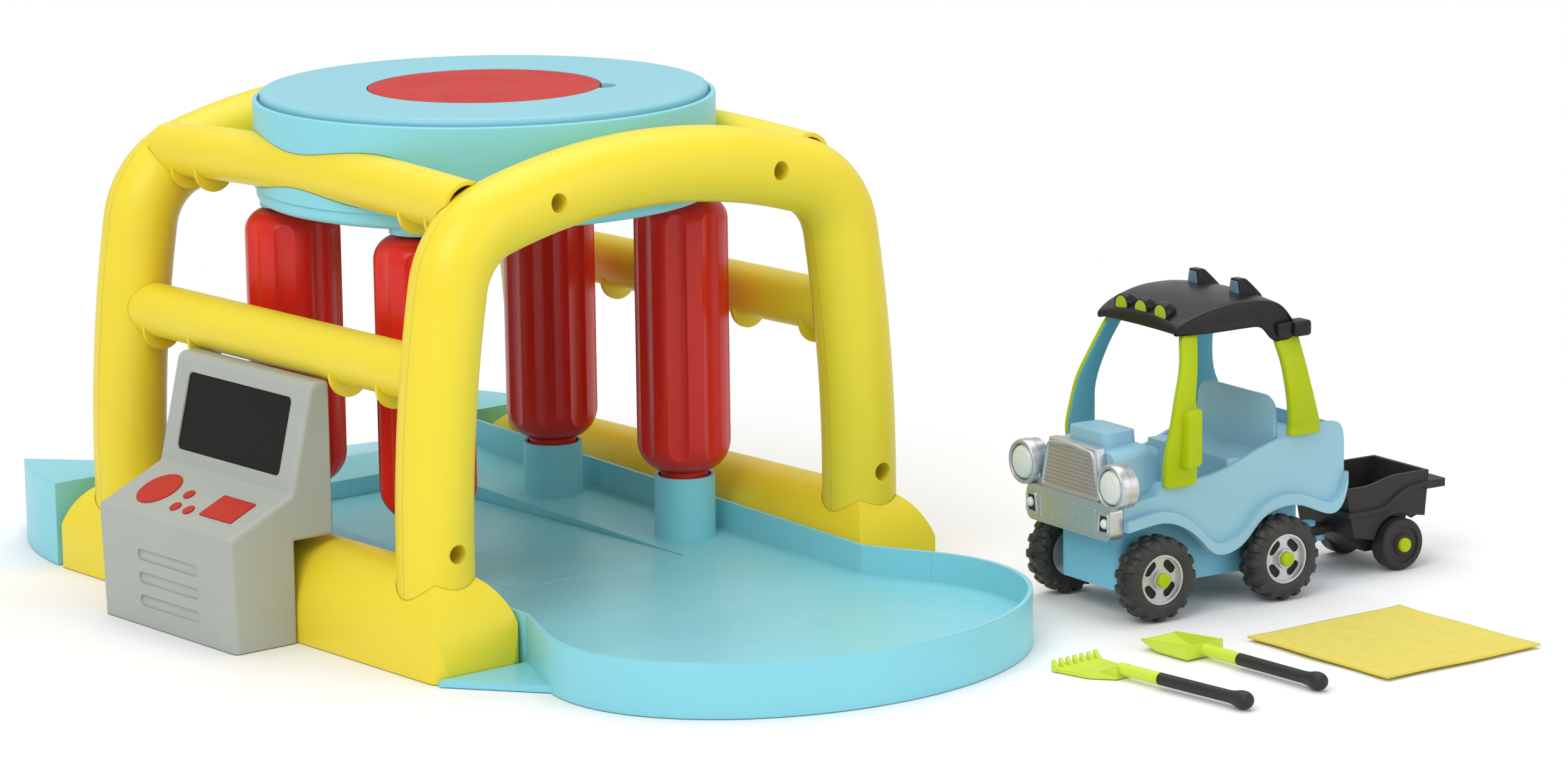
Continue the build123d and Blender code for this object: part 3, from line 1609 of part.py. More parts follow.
truck_roof.part.label = "truck_roof"
export_step(truck_roof.part.moved(truck_place), "parts/truck_roof.step")


# Wheel sets
def wheel_axle(x, z, reach, place_name):
    """Rod across the truck with a domed cap on each end."""
    with BuildPart() as rod:
        with BuildSketch(across(reach)):
            with Locations((x, z)):
                Circle(axle_radius)
        extrude(amount=2 * reach)
        for side in sides:
            with BuildSketch(Plane.XZ.offset(-side * reach)):
                with Locations((x, z)):
                    Circle(axle_cap_radius)
            extrude(amount=-side * axle_cap_length)
        ends = rod.faces().filter_by(Axis.Y)
        fillet(ends.sort_by(Axis.Y)[0].edges(), radius=axle_cap_length / 2)
        fillet(rod.faces().filter_by(Axis.Y).sort_by(Axis.Y)[-1].edges(), radius=axle_cap_length / 2)
    rod.part.label = place_name
    return rod


def rim_pair(x):
    """Two dished rims, each with a ring of slots."""
    with BuildPart() as rims:
        for side in sides:
            outer_y = side * (wheel_outer_y - rim_dish / 2)
            with BuildSketch(Plane.XZ.offset(-outer_y)):
                with Locations((x, axle_z)):
                    Circle(rim_radius)
            extrude(amount=side * (wheel_width - rim_dish))
            with BuildSketch(Plane.XZ.offset(-outer_y)):
                with Locations((x, axle_z)):
                    Circle(rim_radius - rim_dish / 2)
                    Circle(axle_cap_radius + rim_dish / 2, mode=Mode.SUBTRACT)
            extrude(amount=side * rim_dish, mode=Mode.SUBTRACT)
            with BuildSketch(Plane.XZ.offset(-outer_y)):
                with Locations((x, axle_z)):
                    with PolarLocations(rim_slot_circle, rim_slots, start_angle=right_angle / 2):
                        SlotOverall(rim_slot_length, rim_slot_width, rotation=right_angle)
            extrude(amount=side * wheel_width / 2, mode=Mode.SUBTRACT)
            with BuildSketch(Plane.XZ.offset(-outer_y)):
                with Locations((x, axle_z)):
                    Circle(axle_radius + shaft_gap)
            extrude(amount=side * wheel_width, mode=Mode.SUBTRACT)
    return rims


def tyre_pair(x):
    """Two chunky tyres with staggered tread grooves on both shoulders."""
    with BuildPart() as tyres:
        for side in sides:
            with BuildSketch(Plane.XZ.offset(-side * wheel_outer_y)):
                with Locations((x, axle_z)):
                    Circle(wheel_radius)
            extrude(amount=side * wheel_width)
        shoulders = tyres.edges().filter_by(GeomType.CIRCLE)
        fillet(shoulders, radius=wheel_edge_round)
        for side in sides:
            with BuildSketch(Plane.XZ.offset(-side * wheel_outer_y)):
                with Locations((x, axle_z)):
                    Circle(rim_radius + shaft_gap)
            extrude(amount=side * wheel_width, mode=Mode.SUBTRACT)
            for shoulder in (0, 1):
                start_y = side * (wheel_outer_y - shoulder * (wheel_width / 2 - tread_width / 2))
                phase = shoulder * straight_angle / tread_count
                with BuildSketch(Plane.XZ.offset(-start_y)):
                    with Locations((x, axle_z)):
                        with PolarLocations(wheel_radius, tread_count, start_angle=phase):
                            Rectangle(2 * tread_depth, tread_width)
                extrude(amount=side * (wheel_width / 2 + tread_width / 2), mode=Mode.SUBTRACT)
    return tyres


for axle_name, axle_x in (("front", front_axle_x), ("rear", rear_axle_x)):
    axle = wheel_axle(axle_x, axle_z, wheel_outer_y - rim_dish / 2 + shaft_gap, f"truck_{axle_name}_axle")
    export_step(axle.part.moved(truck_place), f"parts/truck_{axle_name}_axle.step")
    rims = rim_pair(axle_x)
    rims.part.label = f"truck_{axle_name}_rims"
    export_step(rims.part.moved(truck_place), f"parts/truck_{axle_name}_rims.step")
    tyres = tyre_pair(axle_x)
    tyres.part.label = f"truck_{axle_name}_tyres"
    export_step(tyres.part.moved(truck_place), f"parts/truck_{axle_name}_tyres.step")


# Trailer
with BuildPart() as trailer_bed:
    trailer_underside_z = trailer_floor_z - trailer_wall
    with BuildSketch(across(trailer_half_width)):
        with BuildLine():
            side_length = trailer_front_x - trailer_rear_x
            rise_start_x, rise_end_x = [trailer_front_x - s * side_length for s in trailer_rise_shares]
            front_top = Line((trailer_front_x, trailer_front_top_z), (rise_start_x, trailer_front_top_z))
            rear_top = Line((rise_end_x, trailer_top_z), (trailer_rear_x, trailer_top_z))
            Spline(front_top @ 1, rear_top @ 0, tangents=((-1, 0), (-1, 0)))
            Polyline(
                rear_top @ 1,
                (trailer_tail_x, trailer_tail_z),
                (trailer_hip_x, trailer_hip_z),
                (trailer_belly_x, trailer_belly_z),
                (trailer_nose_x, trailer_nose_z),
                front_top @ 0,
            )
        make_face()
    extrude(amount=2 * trailer_half_width)
    # Tail lip, a raised band on both sides and its run across the front
    with BuildSketch(Plane.XY.offset(tailboard_z)):
        with Locations(((trailer_rear_x + tailboard_x) / 2 + trailer_wall, 0)):
            RectangleRounded(
                trailer_rear_x - tailboard_x + 2 * trailer_wall,
                2 * (trailer_half_width + band_depth),
                trailer_wall,
            )
    extrude(amount=tailboard_thickness)
    with BuildSketch(Plane.XY.offset(band_low_z)):
        with Locations((trailer_front_x - trailer_wall, 0)):
            Rectangle(2 * band_depth, 2 * (trailer_half_width + band_depth))
    extrude(amount=band_height)
    for side in sides:
        with BuildSketch(Plane.XZ.offset(-side * (trailer_half_width - trailer_wall / 2))):
            with BuildLine():
                band_length = trailer_front_x - trailer_wall - tailboard_x - 2 * trailer_wall
                band_points = [
                    (trailer_front_x - trailer_wall - s * band_length, band_low_z + t * band_rise)
                    for s, t in band_shares
                ]
                low = Spline(*band_points)
                high = Spline(*[(x, z + band_height) for x, z in band_points])
                Line(low @ 0, high @ 0)
                Line(low @ 1, high @ 1)
            make_face()
        extrude(amount=-side * (band_depth + trailer_wall / 2))
    # Load space above the floor, hollow below it, and the wheel arches
    with BuildSketch(across(trailer_half_width - trailer_wall)):
        Polygon(
            (trailer_front_x - trailer_wall, trailer_top_z + overrun),
            (trailer_rear_x + trailer_wall, trailer_top_z + overrun),
            (trailer_tail_x + trailer_wall, trailer_floor_z),
            (trailer_nose_x - trailer_wall, trailer_floor_z),
            align=None,
        )
        Polygon(
            (trailer_nose_x - trailer_wall, trailer_underside_z),
            (trailer_nose_x - trailer_wall, 0),
            (trailer_tail_x + 2 * trailer_wall, 0),
            (trailer_tail_x + 2 * trailer_wall, trailer_underside_z),
            align=None,
        )
    extrude(amount=2 * (trailer_half_width - trailer_wall), mode=Mode.SUBTRACT)
    with BuildSketch(across(trailer_half_width + overrun)):
        with Locations((trailer_axle_x, trailer_wheel_radius)):
            Circle(trailer_arch_radius)
    extrude(amount=2 * (trailer_half_width + overrun), mode=Mode.SUBTRACT)
    # Keel with the axle bore, and the drawbar with its eye
    keel_top_z = trailer_underside_z + trailer_wall / 2
    with BuildSketch(across(trailer_keel_half)):
        Polygon(
            (trailer_nose_x, keel_top_z),
            (trailer_nose_x, hitch_z - drawbar_thickness / 2),
            (trailer_axle_x + trailer_wheel_radius, trailer_keel_z),
            (trailer_axle_x - trailer_wheel_radius / 2, trailer_keel_z),
            (trailer_tail_x + trailer_wall, keel_top_z),
            align=None,
        )
    extrude(amount=2 * trailer_keel_half)
    with BuildSketch(Plane.XY.offset(hitch_z - drawbar_thickness / 2)):
        with Locations(((hitch_x + trailer_nose_x) / 2, 0)):
            SlotOverall(hitch_x - trailer_nose_x + drawbar_width, drawbar_width)
        with Locations((hitch_x, 0)):
            Circle(hitch_pin_radius + shaft_gap, mode=Mode.SUBTRACT)
    extrude(amount=drawbar_thickness)
    with BuildSketch(across(trailer_keel_half + overrun)):
        with Locations((trailer_axle_x, trailer_wheel_radius)):
            Circle(axle_radius + shaft_gap)
    extrude(amount=2 * (trailer_keel_half + overrun), mode=Mode.SUBTRACT)

trailer_bed.part.label = "trailer_bed"
export_step(trailer_bed.part.moved(truck_place), "parts/trailer_bed.step")

trailer_axle = wheel_axle(trailer_axle_x, trailer_wheel_radius, trailer_wheel_outer_y, "trailer_axle")
export_step(trailer_axle.part.moved(truck_place), "parts/trailer_axle.step")

with BuildPart() as trailer_wheels:
    for side in sides:
        with BuildSketch(Plane.XZ.offset(-side * trailer_wheel_outer_y)):
            with Locations((trailer_axle_x, trailer_wheel_radius)):
                Circle(trailer_wheel_radius)
        extrude(amount=side * trailer_wheel_width)
    fillet(trailer_wheels.edges().filter_by(GeomType.CIRCLE), radius=trailer_wall)
    for side in sides:
        with BuildSketch(Plane.XZ.offset(-side * trailer_wheel_outer_y)):
            with Locations((trailer_axle_x, trailer_wheel_radius)):
                Circle(trailer_wheel_radius - 2 * trailer_wall)
                Circle(axle_cap_radius + trailer_wall, mode=Mode.SUBTRACT)
        extrude(amount=side * trailer_wall / 2, mode=Mode.SUBTRACT)
        with BuildSketch(Plane.XZ.offset(-side * trailer_wheel_outer_y)):
            with Locations((trailer_axle_x, trailer_wheel_radius)):
                Circle(axle_radius + shaft_gap)
        extrude(amount=side * trailer_wheel_width, mode=Mode.SUBTRACT)

trailer_wheels.part.label = "trailer_wheels"
export_step(trailer_wheels.part.moved(truck_place), "parts/trailer_wheels.step")


# Hand tools, each along +X from the tip of its head
neck_start = head_length + sleeve_length


def tool_handle():
    """Black handle with a round swelling at its end."""
    with BuildPart() as handle:
        with BuildSketch(Plane.XZ):
            with BuildLine():
                knob_start = tool_length - knob_length
                Polyline(
                    (tool_length, knob_radius),
                    (neck_start - sleeve_length / 2, knob_radius),
                    (neck_start - sleeve_length / 2, knob_radius + handle_radius * 2 / 3),
                    (neck_start, knob_radius + handle_radius * 2 / 3),
                    (neck_start, knob_radius + handle_radius),
                    (knob_start, knob_radius + handle_radius),
                )
                Spline(
                    (knob_start, knob_radius + handle_radius),
                    (tool_length - knob_length / 3, 2 * knob_radius),
                    (tool_length, knob_radius),
                    tangents=((1, 0), (0, -1)),
                )
            make_face()
        revolve(axis=Axis((0, 0, knob_radius), (1, 0, 0)))
    return handle


def tool_sleeve():
    """Tapered sleeve behind a tool's head, with the bore for the handle."""
    with BuildPart() as sleeve:
        for x, radius in ((head_length - tool_sheet, sleeve_radius * 2 / 3), (neck_start, handle_radius)):
            with BuildSketch(Plane.YZ.offset(x)):
                with Locations((0, knob_radius)):
                    Circle(radius)
        loft()
        with BuildSketch(Plane.YZ.offset(neck_start)):
            with Locations((0, knob_radius)):
                Circle(handle_radius * 2 / 3 + shaft_gap)
        extrude(amount=-sleeve_length / 2 - shaft_gap, mode=Mode.SUBTRACT)
    return sleeve.part


sleeve_part = tool_sleeve()

with BuildPart() as rake_head:
    with BuildSketch():
        Polygon(
            (0, -rake_width / 2),
            (0, rake_width / 2),
            (rake_shoulder_x, rake_shoulder_width / 2),
            (head_length, sleeve_radius),
            (head_length, -sleeve_radius),
            (rake_shoulder_x, -rake_shoulder_width / 2),
            align=None,
        )
    extrude(amount=tool_sheet)
    # Tines that turn up at the front edge
    tine_pitch = (rake_width - tine_width) / (rake_tines - 1)
    for tine in range(rake_tines):
        tine_y = tine * tine_pitch - (rake_width - tine_width) / 2
        with BuildSketch(Plane.XZ.offset(-tine_y - tine_width / 2)):
            Polygon(
                (0, 0),
                (0, tine_height),
                (tine_run, tool_sheet),
                (tine_run, 0),
                align=None,
            )
        extrude(amount=tine_width)
    # Stem that rises from the fan into the sleeve
    with BuildSketch(Plane.XZ.offset(-sleeve_radius)):
        Polygon(
            (rake_shoulder_x, 0),
            (rake_shoulder_x, tool_sheet),
            (head_length - tool_sheet, knob_radius + tool_sheet),
            (head_length, knob_radius + tool_sheet),
            (head_length, 0),
            align=None,
        )
    extrude(amount=2 * sleeve_radius)
    add(sleeve_part)

rake_head.part.label = "rake_head"
rake_place = Location((rake_x, rake_y, 0), (0, 0, rake_turn))
export_step(rake_head.part.moved(rake_place), "parts/rake_head.step")

rake_handle = tool_handle()
rake_handle.part.label = "rake_handle"
export_step(rake_handle.part.moved(rake_place), "parts/rake_handle.step")

def scoop_profile(inset, rise):
    """Side outline of the scoop, moved in by the inset, with its open top raised by the rise."""
    with BuildSketch(Plane.XZ.offset(inset - shovel_width / 2)) as profile:
        Polygon(
            (-rise, shovel_lip_z + inset),
            (shovel_bottom_x, inset),
            (head_length - inset, inset),
            (head_length - inset, shovel_depth + rise),
            (-rise, shovel_lip_z + tool_sheet + rise),
            align=None,
        )
    return profile.sketch


scoop_outer = scoop_profile(0, 0)
scoop_inner = scoop_profile(tool_sheet, overrun)

with BuildPart() as shovel_head:
    extrude(scoop_outer, amount=shovel_width, dir=(0, -1, 0))
    low_edges = shovel_head.edges().filter_by_position(Axis.Z, 0, shovel_lip_z / 2)
    fillet(low_edges.filter_by_position(Axis.X, overrun, head_length + overrun), radius=shovel_round)
    extrude(scoop_inner, amount=shovel_width - 2 * tool_sheet, dir=(0, -1, 0), mode=Mode.SUBTRACT)
    add(sleeve_part)

shovel_head.part.label = "shovel_head"
shovel_place = Location((shovel_x, shovel_y, 0), (0, 0, shovel_turn))
export_step(shovel_head.part.moved(shovel_place), "parts/shovel_head.step")

shovel_handle = tool_handle()
shovel_handle.part.label = "shovel_handle"
export_step(shovel_handle.part.moved(shovel_place), "parts/shovel_handle.step")

with BuildPart() as cloth:
    with BuildSketch():
        RectangleRounded(cloth_side, cloth_side, cloth_thickness)
    extrude(amount=cloth_thickness)

cloth.part.label = "cloth"
export_step(cloth.part.moved(Location((cloth_x, cloth_y, 0), (0, 0, cloth_turn))), "parts/cloth.step")
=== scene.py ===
import json
import math

import bmesh
import bpy
from mathutils import Matrix, Vector


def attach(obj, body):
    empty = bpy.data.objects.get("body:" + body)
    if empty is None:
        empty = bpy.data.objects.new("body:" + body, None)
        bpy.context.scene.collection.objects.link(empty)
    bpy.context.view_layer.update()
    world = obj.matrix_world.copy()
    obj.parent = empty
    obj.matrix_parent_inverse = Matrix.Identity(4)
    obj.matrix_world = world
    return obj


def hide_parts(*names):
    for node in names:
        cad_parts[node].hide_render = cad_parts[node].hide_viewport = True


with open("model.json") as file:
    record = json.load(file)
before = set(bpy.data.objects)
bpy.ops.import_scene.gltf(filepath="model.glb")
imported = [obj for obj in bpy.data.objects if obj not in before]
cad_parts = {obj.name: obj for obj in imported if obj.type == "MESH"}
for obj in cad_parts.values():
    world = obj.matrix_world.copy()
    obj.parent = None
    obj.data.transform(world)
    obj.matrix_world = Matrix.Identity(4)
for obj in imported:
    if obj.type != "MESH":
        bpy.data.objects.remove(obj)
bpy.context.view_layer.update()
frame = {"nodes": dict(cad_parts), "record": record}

# Camera, fitted to the photograph
CAMERA_PLACE = (2.18391, -1.61664, 0.65405)
CAMERA_YAW = 0.877
CAMERA_PITCH = -0.202
CAMERA_ROLL = -0.012
CAMERA_LENS_MM = 121.25
SENSOR_MM = 36.0
CAMERA_RANGE = 20.0


def make_camera():
    """Camera that looks along the yaw and pitch, turned by the roll."""
    data = bpy.data.cameras.new("camera")
    data.lens = CAMERA_LENS_MM
    data.sensor_width = SENSOR_MM
    data.sensor_fit = "HORIZONTAL"
    data.clip_end = CAMERA_RANGE
    camera = bpy.data.objects.new("camera", data)
    bpy.context.scene.collection.objects.link(camera)
    forward = Vector((
        -math.sin(CAMERA_YAW) * math.cos(CAMERA_PITCH),
        math.cos(CAMERA_YAW) * math.cos(CAMERA_PITCH),
        math.sin(CAMERA_PITCH),
    ))
    level_right = forward.cross(Vector((0, 0, 1))).normalized()
    level_up = level_right.cross(forward)
    right = math.cos(CAMERA_ROLL) * level_right + math.sin(CAMERA_ROLL) * level_up
    up = math.cos(CAMERA_ROLL) * level_up - math.sin(CAMERA_ROLL) * level_right
    turn = Matrix((right, up, -forward)).transposed().to_4x4()
    camera.matrix_world = Matrix.Translation(CAMERA_PLACE) @ turn
    bpy.context.scene.camera = camera


# The truck's own frame: forward is +X, its left side is +Y
TRUCK_SPOT = (0.2763, 0.2257, 0.0)
TRUCK_HEADING = math.radians(-97.0)
TRUCK_PLACE = Matrix.Translation(TRUCK_SPOT) @ Matrix.Rotation(TRUCK_HEADING, 4, "Z")
MM = 0.001

# Materials: the part of the noise's range that is used, then its scales in repeats per metre
NOISE_LOW = 0.3
NOISE_HIGH = 0.7
FLOW_SCALE = 14.0
SHEEN_SCALE = 45.0
GRAIN_SCALE = 1400.0
FLAKE_SCALE = 900.0
SILVER_SHEEN_SCALE = 60.0
SILVER_GRAIN_SCALE = 1600.0
DUST_SCALE = 80.0
RUBBER_SHEEN_SCALE = 120.0
RUBBER_GRAIN_SCALE = 1100.0
BRUSH_SCALE = 2200.0
STEEL_SHEEN_SCALE = 300.0
FIBRE_SCALE = 900.0
PATCH_SCALE = 160.0
NAP_SCALE = 700.0
# Soft edges, plastic with its scatter in metres, roughness round its gloss, silver and cloth
EDGE_SAMPLES = 6
PLASTIC_IOR = 1.48
PLASTIC_DEPTH = (0.004, 0.004, 0.004)
GLOSS_BELOW = 0.04
GLOSS_ABOVE = 0.06
SILVER_METAL = 0.75
CLOTH_SHADE = 0.84
CLOTH_ROUGHNESS = 0.9
CLOTH_SHEEN = 0.25
NAP_HEIGHT = 0.0006
NAP_STRENGTH = 0.5


def node_tools(name):
    """New node material with its tree, shader and position input."""
    material = bpy.data.materials.new(name)
    material.use_nodes = True
    tree = material.node_tree
    shader = tree.nodes["Principled BSDF"]
    place = tree.nodes.new("ShaderNodeTexCoord").outputs["Object"]
    return material, tree, shader, place


def noise(tree, place, scale, detail=3.0):
    """Noise texture at a scale, in repeats per metre."""
    texture = tree.nodes.new("ShaderNodeTexNoise")
    texture.inputs["Scale"].default_value = scale
    texture.inputs["Detail"].default_value = detail
    tree.links.new(place, texture.inputs["Vector"])
    return texture.outputs["Fac"]


def ranged(tree, value, low, high):
    """The value, mapped from the used part of the noise to a range."""
    node = tree.nodes.new("ShaderNodeMapRange")
    node.inputs["From Min"].default_value = NOISE_LOW
    node.inputs["From Max"].default_value = NOISE_HIGH
    node.inputs["To Min"].default_value = low
    node.inputs["To Max"].default_value = high
    tree.links.new(value, node.inputs["Value"])
    return node.outputs["Result"]


def blended(tree, factor, first, second):
    """Colour mix of two colours by a factor."""
    node = tree.nodes.new("ShaderNodeMix")
    node.data_type = "RGBA"
    node.inputs["A"].default_value = (*first, 1.0)
    node.inputs["B"].default_value = (*second, 1.0)
    tree.links.new(factor, node.inputs["Factor"])
    return node.outputs["Result"]


def drifting(tree, place, shader, colour, share, scale, detail):
    """Base colour that drifts between the colour and a share of it."""
    mark = ranged(tree, noise(tree, place, scale, detail), 0.0, 1.0)
    other = tuple(c * share for c in colour)
    tree.links.new(blended(tree, mark, colour, other), shader.inputs["Base Color"])


def uneven_gloss(tree, place, shader, scale, low, high):
    """Roughness that varies between two values."""
    sheen = ranged(tree, noise(tree, place, scale), low, high)
    tree.links.new(sheen, shader.inputs["Roughness"])


def soft_edges(tree, shader, height, radius, distance, strength):
    """Normal with softened edges, and a bump from the height."""
    soft = tree.nodes.new("ShaderNodeBevel")
    soft.samples = EDGE_SAMPLES
    soft.inputs["Radius"].default_value = radius
    bump = tree.nodes.new("ShaderNodeBump")
    bump.inputs["Distance"].default_value = distance
    bump.inputs["Strength"].default_value = strength
    tree.links.new(height, bump.inputs["Height"])
    tree.links.new(soft.outputs["Normal"], bump.inputs["Normal"])
    tree.links.new(bump.outputs["Normal"], shader.inputs["Normal"])


def moulded(name, colour, gloss, edge=0.0009, grain=0.12, depth=0.06, shift=0.05, shine=0.5):
    """Moulded plastic: faint flow marks in the colour, uneven gloss, fine grain and soft edges."""
    material, tree, shader, place = node_tools(name)
    drifting(tree, place, shader, colour, share=1 - shift, scale=FLOW_SCALE, detail=4.0)
    uneven_gloss(tree, place, shader, SHEEN_SCALE, gloss - GLOSS_BELOW, gloss + GLOSS_ABOVE)
    fine = noise(tree, place, GRAIN_SCALE, detail=2.0)
    soft_edges(tree, shader, fine, radius=edge, distance=0.0002, strength=grain)
    shader.inputs["Subsurface Weight"].default_value = depth
    shader.inputs["Subsurface Radius"].default_value = PLASTIC_DEPTH
    shader.inputs["Subsurface Scale"].default_value = 1.0
    shader.inputs["IOR"].default_value = PLASTIC_IOR
    shader.inputs["Specular IOR Level"].default_value = shine
    return material


def silver_paint(name, colour):
    """Silver-coated plastic with a soft metal lustre."""
    material, tree, shader, place = node_tools(name)
    drifting(tree, place, shader, colour, share=0.86, scale=FLAKE_SCALE, detail=2.0)
    shader.inputs["Metallic"].default_value = SILVER_METAL
    uneven_gloss(tree, place, shader, SILVER_SHEEN_SCALE, low=0.26, high=0.38)
    fine = noise(tree, place, SILVER_GRAIN_SCALE)
    soft_edges(tree, shader, fine, radius=0.0007, distance=0.0001, strength=0.15)
    return material


def tyre_rubber(name, colour):
    """Matt black rubber with a worn, dusty cast."""
    material, tree, shader, place = node_tools(name)
    drifting(tree, place, shader, colour, share=1.5, scale=DUST_SCALE, detail=5.0)
    uneven_gloss(tree, place, shader, RUBBER_SHEEN_SCALE, low=0.38, high=0.55)
    fine = noise(tree, place, RUBBER_GRAIN_SCALE)
    soft_edges(tree, shader, fine, radius=0.0006, distance=0.0003, strength=0.3)
    return material


def screw_steel(name, colour):
    """Brushed steel for screw heads."""
    material, tree, shader, place = node_tools(name)
    drifting(tree, place, shader, colour, share=0.8, scale=BRUSH_SCALE, detail=2.0)
    shader.inputs["Metallic"].default_value = 1.0
    uneven_gloss(tree, place, shader, STEEL_SHEEN_SCALE, low=0.28, high=0.42)
    return material


def cloth_fabric(name, colour):
    """Soft wiping cloth: fine fibre mottling and a loose napped surface."""
    material, tree, shader, place = node_tools(name)
    fibre = ranged(tree, noise(tree, place, FIBRE_SCALE, detail=6.0), 0.0, 1.0)
    patch = ranged(tree, noise(tree, place, PATCH_SCALE, detail=4.0), 0.0, 1.0)
    both = tree.nodes.new("ShaderNodeMath")
    both.operation = "MULTIPLY"
    tree.links.new(fibre, both.inputs[0])
    tree.links.new(patch, both.inputs[1])
    darker = tuple(c * CLOTH_SHADE for c in colour)
    tree.links.new(blended(tree, both.outputs[0], colour, darker), shader.inputs["Base Color"])
    shader.inputs["Roughness"].default_value = CLOTH_ROUGHNESS
    shader.inputs["Sheen Weight"].default_value = CLOTH_SHEEN
    bump = tree.nodes.new("ShaderNodeBump")
    bump.inputs["Distance"].default_value = NAP_HEIGHT
    bump.inputs["Strength"].default_value = NAP_STRENGTH
    tree.links.new(noise(tree, place, NAP_SCALE, detail=5.0), bump.inputs["Height"])
    tree.links.new(bump.outputs["Normal"], shader.inputs["Normal"])
    return material


YELLOW = moulded("yellow_moulding", (0.86, 0.69, 0.035), gloss=0.36, shift=0.03, shine=0.4)
AQUA = moulded("aqua_moulding", (0.25, 0.66, 0.76), gloss=0.33, shift=0.04, shine=0.4)
LID_AQUA = moulded("lid_moulding", (0.25, 0.57, 0.66), gloss=0.40, shift=0.04, shine=0.3)
RED = moulded("red_moulding", (0.72, 0.018, 0.010), gloss=0.26, grain=0.05, shine=0.4)
CAP_RED = moulded("cap_moulding", (0.52, 0.020, 0.014), gloss=0.5, shine=0.2)
PAD_RED = moulded("pad_moulding", (0.53, 0.016, 0.010), gloss=0.4, grain=0.08, shine=0.3)
GREY = moulded("grey_moulding", (0.41, 0.44, 0.405), gloss=0.42, grain=0.25, edge=0.0012, shine=0.4)
SCREEN = moulded(
    "screen_black", (0.010, 0.009, 0.008), gloss=0.3, grain=0.02, depth=0.0, shine=0.15)
BLACK = moulded("black_moulding", (0.012, 0.012, 0.016), gloss=0.30, depth=0.0, shine=0.3)
COAL = moulded("coal_moulding", (0.030, 0.027, 0.025), gloss=0.45, grain=0.3, depth=0.0, shine=0.3)
WHITE = moulded("white_moulding", (0.72, 0.72, 0.70), gloss=0.4)
LIME = moulded("lime_moulding", (0.42, 0.53, 0.002), gloss=0.36, shine=0.22)
BRIGHT_LIME = moulded("bright_lime_moulding", (0.62, 0.76, 0.055), gloss=0.42, shine=0.35)
LAMP_LIME = moulded("lamp_lime_moulding", (0.36, 0.50, 0.02), gloss=0.22, grain=0.03)
TRUCK_BLUE = moulded("truck_blue_moulding", (0.30, 0.55, 0.68), gloss=0.34, shine=0.4)
CHASSIS_BLUE = moulded("chassis_blue_moulding", (0.20, 0.55, 0.74), gloss=0.36, shine=0.4)
TEAL = moulded("teal_moulding", (0.10, 0.36, 0.45), gloss=0.34, shine=0.35)
GLASS_BLUE = moulded("glass_blue_moulding", (0.13, 0.27, 0.36), gloss=0.12, grain=0.02, depth=0.0)
LAMP = moulded("lamp_moulding", (0.80, 0.80, 0.74), gloss=0.14, grain=0.03)
SILVER = silver_paint("silver_coating", (0.62, 0.63, 0.65))
TYRE = tyre_rubber("tyre_rubber", (0.02, 0.019, 0.018))
STEEL = screw_steel("screw_steel", (0.6, 0.6, 0.62))
CLOTH = cloth_fabric("yellow_cloth", (0.76, 0.63, 0.055))

NODE_MATERIALS = {
    "truck_body": TRUCK_BLUE,
    "truck_chassis": CHASSIS_BLUE,
    "trailer_bed": COAL,
    "trailer_wheels": COAL,
    "console_screen": SCREEN,
    "console_round_pad": PAD_RED,
    "console_square_pad": PAD_RED,
    "console_dot_pads": PAD_RED,
    "drive_disc": LID_AQUA,
    "centre_cap": CAP_RED,
    "rake_head": BRIGHT_LIME,
    "shovel_head": BRIGHT_LIME,
}
SLOT_MATERIALS = {
    "yellow": YELLOW,
    "aqua": AQUA,
    "red": RED,
    "grey": GREY,
    "black": BLACK,
    "dark_grey": COAL,
    "white": WHITE,
    "lime": LIME,
    "blue": CHASSIS_BLUE,
    "silver": SILVER,
    "lamp": LAMP,
    "tyre": TYRE,
    "steel": STEEL,
    "cloth": CLOTH,
}


def paint_nodes():
    """Gives each CAD node its material."""
    slots = {part["node"]: part["material_slot"] for part in frame["record"]["subparts"]}
    for name, piece in frame["nodes"].items():
        material = NODE_MATERIALS.get(name, SLOT_MATERIALS[slots[name]])
        for slot in piece.material_slots:
            slot.link = "OBJECT"
            slot.material = material


# Pieces added to the truck and the cloth
def add_piece(name, form, material, body, place=TRUCK_PLACE, sharp_angle=32.0):
    """Mesh object from a form, with its material, body and finish."""
    bmesh.ops.transform(form, matrix=place, verts=form.verts)
    bmesh.ops.recalc_face_normals(form, faces=form.faces)
    mesh = bpy.data.meshes.new(name)
    form.to_mesh(mesh)
    form.free()
    for face in mesh.polygons:
        face.use_smooth = True
    mesh.set_sharp_from_angle(angle=math.radians(sharp_angle))
    mesh.materials.append(material)
    piece = bpy.data.objects.new(name, mesh)
    bpy.context.scene.collection.objects.link(piece)
    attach(piece, body)
    return piece


def joined(form, first, second):
    """Joins two closed rings of points with a row of faces."""
    row = []
    for index in range(len(first)):
        after = (index + 1) % len(first)
        row.append(form.faces.new((first[index], first[after], second[after], second[index])))
    return row


def skinned(form, rows):
    """Joins each open row of points to the next with faces."""
    for first, second in zip(rows, rows[1:]):
        for index in range(len(first) - 1):
            form.faces.new((first[index], first[index + 1], second[index + 1], second[index]))


def thickened(piece, thickness):
    """Gives the piece's faces a wall on their inner side."""
    wall = piece.modifiers.new("thickness", "SOLIDIFY")
    wall.thickness = thickness
    wall.offset = -1.0
    return wall


